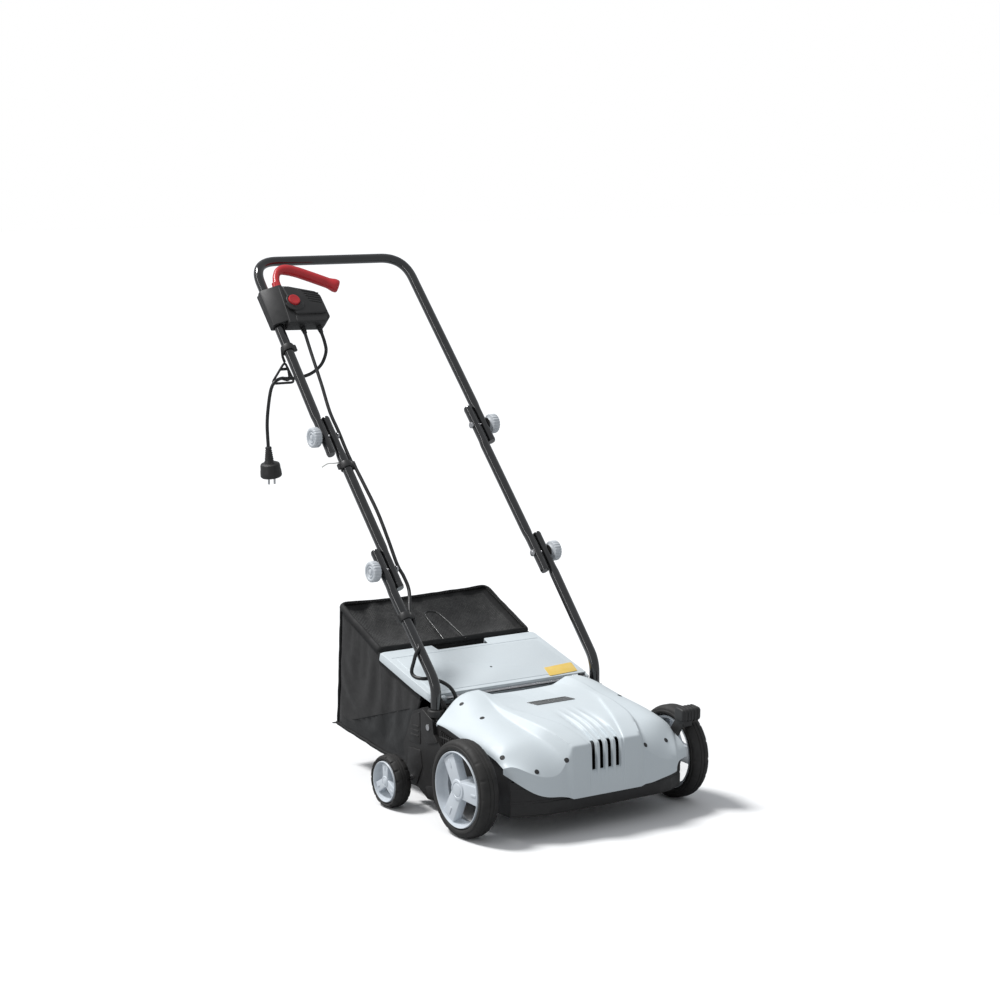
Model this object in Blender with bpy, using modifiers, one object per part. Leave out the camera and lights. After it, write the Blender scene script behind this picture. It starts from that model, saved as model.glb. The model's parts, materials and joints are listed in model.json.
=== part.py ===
"""Lawn dethatcher: a walk-behind electric machine with a sprung-tine rotor, a rear bag and a folding handle.

Metres, +Z up, the front of the machine faces -Y and the handle rises towards +Y. Measures in the functions
below run back from the front axle's rest position and up from the ground. The empty "machine_datum" carries
them all, and puts the world origin on the ground under the middle of the machine's box.
"""

import math

import bmesh
import bpy
from mathutils import Matrix, Vector

CLEARANCE = 0.0003

# Overall
BOX_MIDDLE_Y = 0.39463

# Wheels
FRONT_WHEEL_RADIUS = 0.090
FRONT_WHEEL_WIDTH = 0.040
FRONT_WHEEL_X = 0.239
FRONT_AXLE_Z = 0.090
REAR_WHEEL_RADIUS = 0.0507
REAR_WHEEL_WIDTH = 0.033
REAR_WHEEL_X = 0.2475
REAR_AXLE_Y = 0.245
RIM_RATIO = 0.79
AXLE_RADIUS = 0.005

# Depth crank, which carries the front wheels
CRANK_PIVOT = (-0.025, 0.075)
CRANK_ARM_X = 0.211
LEVER_SPAN_X = (0.2015, 0.2055)
GRIP_SPAN_X = (0.2035, 0.2430)

# Deck
OUTER_WALL_X = 0.193
CHAMBER_WALL_X = 0.167
WALL = 0.004
COVER_HALF_WIDTH = 0.200
COVER_WALL = 0.003
ROTOR_CENTRE = (0.115, 0.090)
CHAMBER_RADIUS = 0.088
TRAY_LIP_Z = 0.046
TRAY_FLOOR_Z = 0.062
TINE_RADIUS = 0.078
DISC_COUNT = 7
DISC_PITCH = 0.050
MOTOR_CENTRE = (-0.020, 0.147)
MOTOR_RADIUS = 0.036
MOTOR_SPAN_X = (-0.095, 0.020)
ROTOR_PULLEY_RADIUS = 0.035
MOTOR_PULLEY_RADIUS = 0.010
PULLEY_SPAN_X = (-0.1855, -0.1695)
BELT_THICKNESS = 0.0025
BELT_GAP = 0.0009

# Top cover, by distance back from the front axle: ridge height, crease half-width and edge height
COVER_RIDGE = [(0.170, 0.210), (0.090, 0.209), (0.030, 0.205), (-0.045, 0.195), (-0.095, 0.178)]
COVER_CREASE = [(0.170, 0.100), (0.090, 0.1135), (0.030, 0.112), (-0.045, 0.0996), (-0.095, 0.078)]
COVER_EDGE = [(0.157, 0.1715), (0.083, 0.161), (0.0, 0.155), (-0.064, 0.139), (-0.089, 0.107)]
CREASE_DROP = [(0.090, 0.0), (-0.095, 0.014)]
REAR_HUMP = 0.017
SLOT_COUNT = 4
SLOT_PITCH = 0.018

# Flap and bag
FLAP_PIVOT = (0.205, 0.205)
FLAP_SLOPE = math.radians(15.0)
FLAP_LENGTH = 0.197
FLAP_HALF_WIDTH = 0.181
BAG_HALF_WIDTH = 0.175
BAG_WALL = 0.003
BAG_OUTLINE = [
    (0.281, 0.058), (0.400, 0.063), (0.577, 0.0845), (0.562, 0.333), (0.4045, 0.2645),
    (0.4040, 0.2425), (0.250, 0.1985), (0.2835, 0.112),
]

# Handle
TUBE_RADIUS = 0.010
TUBE_WALL = 0.0015
HANDLE_TILT = math.radians(47.6)
UPPER_PIVOT = (0.587, 0.668)
LOWER_PIVOT = (0.364, 0.431)
OUTER_TUBE_X = 0.190
INNER_TUBE_X = 0.170
TUBE_OVERLAP = 0.045
UPPER_LENGTH = 0.4523
UPPER_CORNER_X = 0.183
UPPER_BEND = 0.055
LOWER_TUBE_X = 0.184
LOWER_TUBE_Y = 0.184
LOWER_BEND_Z = 0.240
LOWER_BEND = 0.060
TUBE_FOOT_Z = 0.1295
TUBE_SCREW_Z = 0.160
FLAT_KEEP = 0.8
CABLE_RADIUS = 0.0035
KNOB_GAP = 0.0012
CABLE_X = -0.1535
LOWER_CABLE_OFFSET = 0.0165
UPPER_CLIP_SHARE = 0.77
LOWER_CLIP_SHARE = 0.42

# Switch box, in the handle's own plane: x, distance up from the upper pivot, height off the plane
BOX_FRONT = 0.034
BOX_BACK = -0.014
LEVER_PIVOT = (-0.150, 0.352, 0.010)
BUTTON_CENTRE = (-0.149, 0.3197)
BUTTON_RADIUS = 0.0125
FRONT_HALF_FOOT = 0.268
BACK_HALF_FOOT = 0.284
MOTOR_CORD_EXIT = (-0.1400, 0.268, 0.012)
SUPPLY_CORD_EXIT = (-0.1020, 0.269, 0.012)
HOOK_LEVEL = 0.222

# Colours as linear RGB
GREY_SHELL = (0.68, 0.74, 0.78)
BLACK_PLASTIC = (0.030, 0.029, 0.028)
GLOSS_BLACK = (0.012, 0.012, 0.013)
RED_PLASTIC = (0.55, 0.030, 0.040)
STEEL = (0.55, 0.55, 0.56)
RUBBER = (0.022, 0.022, 0.022)
MESH_BLACK = (0.020, 0.020, 0.021)


# ---------------------------------------------------------------- scene and materials


def clear_scene():
    for obj in list(bpy.data.objects):
        bpy.data.objects.remove(obj, do_unlink=True)


def make_collection(name):
    collection = bpy.data.collections.new(name)
    bpy.context.scene.collection.children.link(collection)
    return collection


def make_material(name, colour, roughness, metallic):
    material = bpy.data.materials.new(name)
    material.use_nodes = True
    shader = material.node_tree.nodes["Principled BSDF"]
    shader.inputs["Base Color"].default_value = (*colour, 1.0)
    shader.inputs["Roughness"].default_value = roughness
    shader.inputs["Metallic"].default_value = metallic
    return material


def make_empty(name, location, tilt=0.0, parent=None):
    empty = bpy.data.objects.new(name, None)
    empty.location = location
    empty.rotation_euler = (tilt, 0.0, 0.0)
    empty.parent = parent
    PARTS.objects.link(empty)
    return empty


def finish(obj, name, parent, look, smooth=True):
    """Names the piece, gives it its own material and hangs it on its parent."""
    obj.name = name
    obj.data.name = name
    obj.parent = parent
    obj.data.materials.clear()
    obj.data.materials.append(make_material(name, *look))
    if smooth and obj.type == "MESH":
        obj.data.shade_smooth()
        obj.data.set_sharp_from_angle(angle=math.radians(35))
    return obj


# ---------------------------------------------------------------- shapes


def object_from(bm, collection=None, recalculate=True):
    if recalculate:
        bmesh.ops.recalc_face_normals(bm, faces=bm.faces)
    mesh = bpy.data.meshes.new("shape")
    bm.to_mesh(mesh)
    bm.free()
    obj = bpy.data.objects.new("shape", mesh)
    (collection or PARTS).objects.link(obj)
    return obj


def block(low, high, collection=None):
    """A box between two corners."""
    low, high = Vector(low), Vector(high)
    bm = bmesh.new()
    size = high - low
    place = Matrix.Translation((low + high) / 2) @ Matrix.Diagonal((*size, 1.0))
    bmesh.ops.create_cube(bm, size=1.0, matrix=place)
    return object_from(bm, collection)


def rod(start, end, radius, segments=16, collection=None, end_radius=None):
    """A cylinder, or a cone, between two points."""
    start, end = Vector(start), Vector(end)
    along = end - start
    turn = along.to_track_quat("Z", "Y").to_matrix().to_4x4()
    place = Matrix.Translation((start + end) / 2) @ turn
    bm = bmesh.new()
    bmesh.ops.create_cone(
        bm,
        cap_ends=True,
        segments=segments,
        radius1=radius,
        radius2=radius if end_radius is None else end_radius,
        depth=along.length,
        matrix=place,
    )
    return object_from(bm, collection)


def turned_x(profile, centre, steps, facing=1):
    """Turns (radius, x) points about the X axis through centre. They run from +x round the outside to -x.

    Facing -1 mirrors the piece, for the left side of the machine.
    """
    mesh = bpy.data.meshes.new("profile")
    points = [(radius, 0.0, x) for radius, x in profile]
    closed = min(radius for radius, _ in profile) > 0
    edges = [(i, i + 1) for i in range(len(points) - 1)]
    if closed:
        edges.append((len(points) - 1, 0))
    mesh.from_pydata(points, edges, [])
    obj = bpy.data.objects.new("turned", mesh)
    PARTS.objects.link(obj)
    screw = obj.modifiers.new("Turn", "SCREW")
    screw.axis = "Z"
    screw.steps = steps
    screw.render_steps = steps
    screw.use_merge_vertices = True
    screw.merge_threshold = 0.00005
    obj = to_mesh(obj)
    axis_to_x = Matrix.Rotation(facing * math.pi / 2, 4, "Y")
    obj.data.transform(Matrix.Translation(centre) @ axis_to_x)
    return obj


def plate_yz(points, low_x, high_x, collection=None):
    """A flat outline of (y, z) points, filled and given thickness from low_x to high_x."""
    return flat_plate(points, (low_x + high_x) / 2, high_x - low_x, "YZ", collection)


def plate_xy(points, low_z, high_z, collection=None):
    """A flat outline of (x, y) points, filled and given thickness from low_z to high_z."""
    return flat_plate(points, (low_z + high_z) / 2, high_z - low_z, "XY", collection)


def flat_plate(points, level, thickness, plane, collection):
    curve = bpy.data.curves.new("outline", "CURVE")
    curve.dimensions = "2D"
    curve.fill_mode = "BOTH"
    curve.extrude = thickness / 2
    spline = curve.splines.new("POLY")
    spline.points.add(len(points) - 1)
    for point, place in zip(spline.points, points):
        point.co = (place[0], place[1], 0.0, 1.0)
    spline.use_cyclic_u = True
    obj = bpy.data.objects.new("outline", curve)
    PARTS.objects.link(obj)
    obj = to_mesh(obj, collection)
    if plane == "YZ":
        turn = Matrix(((0, 0, 1, level), (1, 0, 0, 0), (0, 1, 0, 0), (0, 0, 0, 1)))
        obj.data.transform(turn)
    else:
        obj.data.transform(Matrix.Translation((0, 0, level)))
    return obj


def wire(points, radius, closed=False, sides=2, capped=True):
    """A round wire or tube along straight runs; sides is the curve's bevel_resolution."""
    curve = bpy.data.curves.new("wire", "CURVE")
    curve.dimensions = "3D"
    curve.bevel_depth = radius
    curve.bevel_resolution = sides
    curve.use_fill_caps = capped and not closed
    spline = curve.splines.new("POLY")
    spline.points.add(len(points) - 1)
    for point, place in zip(spline.points, points):
        point.co = (*place, 1.0)
    spline.use_cyclic_u = closed
    obj = bpy.data.objects.new("wire", curve)
    PARTS.objects.link(obj)
    return to_mesh(obj)


def to_mesh(obj, collection=None):
    """The evaluated object as a new mesh object; the source object is removed."""
    bpy.context.view_layer.update()
    graph = bpy.context.evaluated_depsgraph_get()
    mesh = bpy.data.meshes.new_from_object(obj.evaluated_get(graph))
    made = bpy.data.objects.new(obj.name, mesh)
    made.matrix_world = obj.matrix_world.copy()
    (collection or PARTS).objects.link(made)
    bpy.data.objects.remove(obj, do_unlink=True)
    bm = bmesh.new()
    bm.from_mesh(mesh)
    bmesh.ops.remove_doubles(bm, verts=bm.verts, dist=0.00001)
    bm.to_mesh(mesh)
    bm.free()
    return made


def combine(obj, others, operation):
    """Applies one Boolean for each of the other objects and removes them."""
    for other in others:
        change = obj.modifiers.new(operation.title(), "BOOLEAN")
        change.operation = operation
        change.solver = "EXACT"
        change.object = other
        obj = to_mesh(obj)
        bpy.data.objects.remove(other, do_unlink=True)
    return obj


def join(obj, *others):
    return combine(obj, others, "UNION")


def cut(obj, *others):
    return combine(obj, others, "DIFFERENCE")


def arc(centre, radius, start, end, count):
    """Points on a circle from start to end, in degrees."""
    turns = [math.radians(start + (end - start) * i / (count - 1)) for i in range(count)]
    return [(centre[0] + radius * math.cos(t), centre[1] + radius * math.sin(t)) for t in turns]


def rounded_path(points, radii, steps=4):
    """A path of straight runs whose inner corners are arcs of the given radii."""
    path = [Vector(points[0])]
    for i in range(1, len(points) - 1):
        corner = Vector(points[i])
        back = (Vector(points[i - 1]) - corner).normalized()
        ahead = (Vector(points[i + 1]) - corner).normalized()
        half = back.angle(ahead) / 2
        reach = radii[i - 1] / math.tan(half)
        middle = corner + (back + ahead).normalized() * radii[i - 1] / math.sin(half)
        first = corner + back * reach - middle
        sweep = first.rotation_difference(corner + ahead * reach - middle)
        for step in range(steps + 1):
            turn = sweep.slerp(sweep.__class__(), 1 - step / steps)
            path.append(middle + turn @ first)
    path.append(Vector(points[-1]))
    return path


def inset(points, distance):
    """A convex-enough outline with every side moved inwards; the points run anticlockwise."""
    moved = []
    count = len(points)
    for i in range(count):
        before, here, after = (Vector(points[(i + k) % count]) for k in (-1, 0, 1))
        into, out = (here - before).normalized(), (after - here).normalized()
        normal_in, normal_out = Vector((-into.y, into.x)), Vector((-out.y, out.x))
        bisector = (normal_in + normal_out).normalized()
        moved.append(tuple(here + bisector * distance / bisector.dot(normal_in)))
    return moved


def between(outline, value):
    """Straight-line interpolation through (position, measure) points in falling or rising order."""
    points = sorted(outline)
    if value <= points[0][0]:
        return points[0][1]
    for (x0, m0), (x1, m1) in zip(points, points[1:]):
        if value <= x1:
            return m0 + (m1 - m0) * (value - x0) / (x1 - x0)
    return points[-1][1]


def hollow_tube(path, flats):
    """A steel tube, pressed flatter across X around each of the flats, and drilled there for a bolt."""
    tube = wire(path, TUBE_RADIUS, sides=3, capped=False)
    for centre in flats:
        flatten(tube, Vector(centre))
    skin = tube.modifiers.new("Wall", "SOLIDIFY")
    skin.thickness = TUBE_WALL
    skin.offset = -1.0
    skin.use_even_offset = True
    tube = to_mesh(tube)
    reach = Vector((0.02, 0, 0))
    drills = [rod(Vector(c) - reach, Vector(c) + reach, 0.0035, 8, CUTTERS) for c in flats]
    return cut(tube, *drills)


def flatten(tube, centre, full=0.036, gone=0.056):
    for vertex in tube.data.vertices:
        away = (vertex.co - centre).length
        press = min(max((gone - away) / (gone - full), 0.0), 1.0)
        keep = 1.0 - (1.0 - FLAT_KEEP) * press
        vertex.co.x = centre.x + (vertex.co.x - centre.x) * keep


# ---------------------------------------------------------------- wheels


def wheel(side, where, parent, radius, width, steps, turn):
    """A rubber tyre on a dished plastic hub with three broad spokes, round its own axle frame."""
    centre = (0.0, 0.0, 0.0)
    rim = radius * RIM_RATIO
    half = width / 2
    shoulder = 0.10 * radius
    tyre_profile = [
        (rim + CLEARANCE, half - 0.004),
        (rim + 0.35 * (radius - rim), half),
        (radius - shoulder, half),
        (radius, half - shoulder),
        (radius, shoulder - half),
        (radius - shoulder, -half),
        (rim + 0.35 * (radius - rim), -half),
        (rim + CLEARANCE, 0.004 - half),
    ]
    tyre = turned_x(tyre_profile, centre, steps, side)
    finish(tyre, f"{where}_tyre", parent, (RUBBER, 0.8, 0.0))
    boss = 0.19 * radius + 0.002
    dish = half - 0.42 * width
    hub_profile = [
        (0.0, half - 0.003),
        (boss, half - 0.003),
        (boss + 0.003, dish + 0.002),
        (rim * 0.86, dish),
        (rim * 0.89, half - 0.0015),
        (rim, half - 0.0015),
        (rim, 0.003 - half),
        (rim * 0.92, 0.003 - half),
        (rim * 0.86, dish - 0.005),
        (boss, dish - 0.006),
        (boss, 0.003 - half),
        (AXLE_RADIUS + CLEARANCE, 0.003 - half),
        (AXLE_RADIUS + CLEARANCE, half - 0.006),
        (0.0, half - 0.006),
    ]
    hub = turned_x(hub_profile, centre, steps, side)
    hub = cut(hub, *hub_windows(boss + 0.006, rim * 0.83, width, turn))
    finish(hub, f"{where}_hub", parent, (GREY_SHELL, 0.4, 0.0))


def hub_windows(inner, outer, width, first):
    """Three sector openings between the spokes, the first of them at a given angle."""
    windows = []
    for turn in (first, first + 120, first + 240):
        outline = arc((0.0, 0.0), outer, turn - 34, turn + 34, 5)
        outline += arc((0.0, 0.0), inner, turn + 16, turn - 16, 3)
        windows.append(plate_yz(outline, -width, width, CUTTERS))
    return windows


def wheels(crank_frame, datum):
    for side, name in ((-1, "left"), (1, "right")):
        centre = Vector((side * FRONT_WHEEL_X, 0.0, FRONT_AXLE_Z)) - Vector((0.0, *CRANK_PIVOT))
        hub_frame = make_empty(f"front_wheel_{name}_axis", centre, parent=crank_frame)
        wheel(side, f"front_{name}", hub_frame, FRONT_WHEEL_RADIUS, FRONT_WHEEL_WIDTH, 20, 0)
        centre = (side * REAR_WHEEL_X, REAR_AXLE_Y, REAR_WHEEL_RADIUS)
        hub_frame = make_empty(f"rear_wheel_{name}_axis", centre, parent=datum)
        wheel(side, f"rear_{name}", hub_frame, REAR_WHEEL_RADIUS, REAR_WHEEL_WIDTH, 14, 30)


def rear_axle(datum):
    reach = REAR_WHEEL_X + 0.006
    line = (REAR_AXLE_Y, REAR_WHEEL_RADIUS)
    axle = rod((-reach, *line), (reach, *line), AXLE_RADIUS)
    finish(axle, "rear_axle", datum, (STEEL, 0.35, 1.0))


# ---------------------------------------------------------------- depth adjustment


def depth_crank(frame):
    """The cranked front axle and its hand lever, in a frame on the crank's pivot line."""
    stub = Vector((FRONT_WHEEL_X + 0.012, -CRANK_PIVOT[0], FRONT_AXLE_Z - CRANK_PIVOT[1]))
    arm = Vector((CRANK_ARM_X, *stub.yz))
    corner = Vector((CRANK_ARM_X, 0.0, 0.0))
    right = [corner, arm, stub]
    left = [Vector((-p.x, p.y, p.z)) for p in reversed(right)]
    crank = wire(left + right, AXLE_RADIUS - 0.0002)
    finish(crank, "front_crank_axle", frame, (STEEL, 0.35, 1.0))

    root = arc((0.0, 0.0), 0.014, 200, 380, 7)
    neck = [(0.006, 0.050), (-0.026, 0.092), (-0.029, 0.115)]
    neck += [(-0.053, 0.111), (-0.052, 0.089), (-0.026, 0.050)]
    grip = [(-0.0535, 0.0895), (-0.029, 0.0915), (-0.030, 0.1155), (-0.0545, 0.1115)]
    lever = join(plate_yz(root + neck, *LEVER_SPAN_X), plate_yz(grip, *GRIP_SPAN_X))
    lever = cut(lever, rod((0.19, 0, 0), (0.22, 0, 0), AXLE_RADIUS + CLEARANCE, 8, CUTTERS))
    finish(lever, "depth_lever", frame, (BLACK_PLASTIC, 0.55, 0.0))


# ---------------------------------------------------------------- deck


def side_outline():
    """The outer wall: the front foot, under the cover's edge, the rear shoulder and the axle plate."""
    top = [(0.160, 0.172), (0.083, 0.165), (0.0, 0.159), (-0.060, 0.142), (-0.078, 0.112)]
    foot = [(-0.078, TRAY_LIP_Z), (0.100, 0.045), (0.125, 0.022), (0.190, 0.020)]
    rear = [(0.225, 0.036), (0.262, 0.036), (0.266, 0.070), (0.275, 0.111)]
    rear += [(0.242, 0.179), (0.205, 0.194)]
    return foot + rear + top


def rear_pod_outline():
    """The thicker rear part of the side wall, which the cover doesn't reach."""
    return [
        (0.125, 0.022), (0.190, 0.020), (0.225, 0.036), (0.262, 0.036), (0.266, 0.070), (0.275, 0.111),
        (0.242, 0.179), (0.205, 0.194), (0.172, 0.174), (0.166, 0.150), (0.108, 0.100),
    ]


def chamber_outline():
    """The rotor chamber's side wall, with the lug for the flap's rod at its rear top."""
    lug = arc(FLAP_PIVOT, 0.008, -20, 150, 6)
    low = [(0.028, 0.046), (0.150, 0.024), (0.200, 0.030), (0.268, 0.058)]
    low += [(0.272, 0.110), (0.243, 0.172)]
    return low + lug + [(0.150, 0.180), (0.115, 0.180), (0.060, 0.160), (0.028, 0.120)]


def front_wall_plan(depth):
    """The tray's front in plan, from the left wall round to the right, moved back by depth."""
    right = [(0.0, -0.104), (0.127, -0.102), (0.158, -0.094), (OUTER_WALL_X, -0.078)]
    left = [(-x, y) for x, y in reversed(right[1:])]
    return [(x * (1 - depth / OUTER_WALL_X), y + depth) for x, y in left + right]


def strip_yz(path, thickness, half_width):
    """A sheet that follows (y, z) points, as wide as twice half_width."""
    normals = []
    for i in range(len(path)):
        ahead = Vector(path[min(i + 1, len(path) - 1)]) - Vector(path[max(i - 1, 0)])
        ahead.normalize()
        normals.append(Vector((-ahead.y, ahead.x)) * thickness / 2)
    above = [tuple(Vector(p) + n) for p, n in zip(path, normals)]
    below = [tuple(Vector(p) - n) for p, n in zip(path, normals)]
    return plate_yz(below + above[::-1], -half_width, half_width)


def motor_cradle(x):
    rib = block((x - 0.003, -0.050, 0.064), (x + 0.003, 0.010, 0.132))
    seat = (x - 0.01, *MOTOR_CENTRE), (x + 0.01, *MOTOR_CENTRE)
    return cut(rib, rod(*seat, MOTOR_RADIUS + CLEARANCE, 24, CUTTERS))


def housing(datum):
    """The lower housing: tray, rotor chamber, discharge chute, belt bay and tube sockets, moulded as one."""
    front = front_wall_plan(0.0)
    body = plate_xy(front + front_wall_plan(0.0035)[::-1], TRAY_LIP_Z, 0.110)
    floor = [(OUTER_WALL_X - 0.002, 0.036), (0.002 - OUTER_WALL_X, 0.036)]
    pieces = [plate_xy(front_wall_plan(0.001) + floor, TRAY_FLOOR_Z, TRAY_FLOOR_Z + WALL)]
    roof_arc = arc(ROTOR_CENTRE, CHAMBER_RADIUS, 197, 62, 12)
    pieces.append(strip_yz(roof_arc + [(0.197, 0.1925)], WALL, CHAMBER_WALL_X - 0.001))
    rear_sill = [(0.195, 0.035), (0.225, 0.062), (0.268, 0.062)]
    pieces.append(strip_yz(rear_sill, 0.003, CHAMBER_WALL_X - 0.001))
    for side in (-1, 1):
        spans = (
            (side_outline(), OUTER_WALL_X - WALL, OUTER_WALL_X),
            (rear_pod_outline(), OUTER_WALL_X - 0.001, COVER_HALF_WIDTH),
            (chamber_outline(), CHAMBER_WALL_X - WALL, CHAMBER_WALL_X),
        )
        for outline, inner, outer in spans:
            pieces.append(plate_yz(outline, *sorted((side * inner, side * outer))))
        low, high = sorted((side * (CHAMBER_WALL_X - 0.001), side * (OUTER_WALL_X - 0.001)))
        pieces.append(block((low, 0.169, 0.110), (high, 0.199, 0.188)))
    pieces += [motor_cradle(-0.078), motor_cradle(0.002)]
    body = join(body, *pieces)
    body = cut(body, *housing_holes())
    finish(body, "lower_housing", datum, (BLACK_PLASTIC, 0.6, 0.0))


def screw_line(side, near, far, radius, segments, collection=None):
    """A rod along the screw that holds one lower tube in its socket, from near to far across the machine."""
    start, end = (side * near, LOWER_TUBE_Y, TUBE_SCREW_Z), (side * far, LOWER_TUBE_Y, TUBE_SCREW_Z)
    return rod(start, end, radius, segments, collection)


def housing_holes():
    """Bores for the tubes, the crank, the axle, the bearings, the flap's rod and the tube screws."""
    wide = 0.25
    rear = (REAR_AXLE_Y, REAR_WHEEL_RADIUS)
    holes = [
        rod((-wide, *CRANK_PIVOT), (wide, *CRANK_PIVOT), AXLE_RADIUS + CLEARANCE, 12, CUTTERS),
        rod((-wide, *rear), (wide, *rear), AXLE_RADIUS + CLEARANCE, 16, CUTTERS),
        rod((-0.181, *FLAP_PIVOT), (0.181, *FLAP_PIVOT), 0.0036, 10, CUTTERS),
        rod((-0.176, *ROTOR_CENTRE), (0.176, *ROTOR_CENTRE), 0.0178, 20, CUTTERS),
    ]
    for side in (-1, 1):
        x = side * LOWER_TUBE_X
        socket = (x, LOWER_TUBE_Y, TUBE_FOOT_Z - 0.0007)
        holes.append(rod(socket, (x, LOWER_TUBE_Y, 0.25), TUBE_RADIUS + 0.0004, 16, CUTTERS))
        holes.append(screw_line(side, 0.16, 0.21, 0.0034, 8, CUTTERS))
    return holes


# ---------------------------------------------------------------- top cover


def cover_row(y):
    """Half of one cross-section of the cover, from the middle out to its side edge."""
    ridge = between(COVER_RIDGE, y)
    crease = between(COVER_CREASE, y)
    edge = between(COVER_EDGE, y)
    foot = ridge - between(CREASE_DROP, y)
    hump = REAR_HUMP * math.exp(-(((y - 0.150) / 0.035) ** 2))
    outer = COVER_HALF_WIDTH
    row = [(0.0, ridge), (crease * 0.55, ridge + hump * 0.1), (crease, ridge - 0.001 + hump)]
    for share, bow in ((0.14, 0.0), (0.45, 0.010), (0.78, 0.010)):
        x = crease + (outer - crease) * share
        z = foot + (edge + 0.010 - foot) * share + bow + hump * (1 - share)
        row.append((x, z))
    row += [(outer - 0.0015, edge + 0.010), (outer, edge)]
    return [(x, y - rear_sweep(x, y), z) for x, z in row]


def rear_sweep(x, y):
    """How far the cover's rear edge comes forward towards its corners."""
    near_rear = min(max((y - 0.120) / 0.0475, 0.0), 1.0)
    return 0.0100 * near_rear * (x / COVER_HALF_WIDTH) ** 3


def cover_nose(level):
    """Half of one row of the nose: level 0 is its upper edge and level 1 its lower edge."""
    brow = [(0.0, -0.108, 0.164), (0.038, -0.108, 0.164), (0.076, -0.107, 0.160), (0.084, -0.102, 0.146)]
    brow += [(0.127, -0.108, 0.116), (0.160, -0.102, 0.112), (0.189, -0.092, 0.110), (0.200, -0.089, 0.106)]
    chin = [(0.0, -0.1125, 0.070), (0.038, -0.1125, 0.070), (0.076, -0.112, 0.070), (0.086, -0.1115, 0.070)]
    chin += [(0.127, -0.110, 0.072), (0.160, -0.103, 0.080), (0.188, -0.093, 0.103), (0.1985, -0.0885, 0.101)]
    return [tuple(Vector(a).lerp(Vector(b), level)) for a, b in zip(brow, chin)]


def rear_lip_depth(x):
    return 0.004 + 0.018 * (1 - (x / COVER_HALF_WIDTH) ** 2)


def top_cover(datum):
    rows = [[(x, y + 0.002, z - rear_lip_depth(x)) for x, y, z in cover_row(0.1675)]]
    rows += [cover_row(y) for y in (0.1675, 0.150, 0.125, 0.090, 0.030, -0.010, -0.045, -0.075, -0.094)]
    rows += [cover_nose(0.0), cover_nose(0.5), cover_nose(1.0)]
    bm = bmesh.new()
    grid = [[bm.verts.new(point) for point in row] for row in rows]
    for near, far in zip(grid, grid[1:]):
        for i in range(len(near) - 1):
            bm.faces.new((near[i], near[i + 1], far[i + 1], far[i]))
    shell = object_from(bm)
    if max(shell.data.polygons, key=lambda face: face.center.z).normal.z < 0:
        shell.data.flip_normals()
    mirror = shell.modifiers.new("Mirror", "MIRROR")
    mirror.use_axis = (True, False, False)
    mirror.use_clip = True
    mirror.merge_threshold = 0.0001
    skin = shell.modifiers.new("Wall", "SOLIDIFY")
    skin.thickness = COVER_WALL
    skin.offset = -1.0
    skin.use_even_offset = True
    shell = to_mesh(shell)
    slots = [grille_slot(SLOT_PITCH * (i - (SLOT_COUNT - 1) / 2)) for i in range(SLOT_COUNT)]
    shell = cut(shell, *slots)
    finish(shell, "top_cover", datum, (GREY_SHELL, 0.35, 0.0))


def grille_slot(x):
    return block((x - 0.0045, -0.13, 0.114), (x + 0.0045, -0.09, 0.160), CUTTERS)


def badge(datum):
    """A blank plate with slanted ends on the cover's middle."""
    half, slant, deep = 0.0485, 0.010, 0.010
    outline = [(slant - half, -deep), (half, -deep), (half - slant, deep), (-half, deep)]
    plate = plate_xy(outline, 0.0, 0.0015)
    tilt = Matrix.Rotation(math.atan2(0.004, 0.060), 4, "X")
    plate.data.transform(Matrix.Translation((0, 0.0700, 0.2085)) @ tilt)
    finish(plate, "badge_plate", datum, ((0.14, 0.15, 0.15), 0.4, 0.6), smooth=False)


# ---------------------------------------------------------------- drive


def motor(datum, rotor_of_motor):
    x0, x1 = MOTOR_SPAN_X
    middle = (x0 + x1) / 2
    half = (x1 - x0) / 2
    profile = [
        (0.0, half), (0.020, half), (0.024, half - 0.008), (MOTOR_RADIUS, half - 0.012),
        (MOTOR_RADIUS, 0.010 - half), (0.028, -half), (0.0056, -half), (0.0056, 0.020 - half),
        (0.0, 0.020 - half),
    ]
    body = turned_x(profile, (middle, *MOTOR_CENTRE), 20)
    finish(body, "motor_body", datum, (STEEL, 0.45, 1.0))

    p0, p1 = PULLEY_SPAN_X
    centre = (p0 + p1) / 2
    reach = (p1 - p0) / 2
    shaft_end = x0 + 0.018 - centre
    pulley = [
        (0.0, shaft_end), (0.005, shaft_end), (0.005, reach), (0.0125, reach),
        (0.0125, reach - 0.001), (MOTOR_PULLEY_RADIUS, reach - 0.001), (MOTOR_PULLEY_RADIUS, 0.001 - reach),
        (0.0125, 0.001 - reach), (0.0125, -reach), (0.0, -reach),
    ]
    shaft = turned_x(pulley, (centre, 0, 0), 12)
    finish(shaft, "motor_shaft_pulley", rotor_of_motor, (STEEL, 0.3, 1.0))


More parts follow.
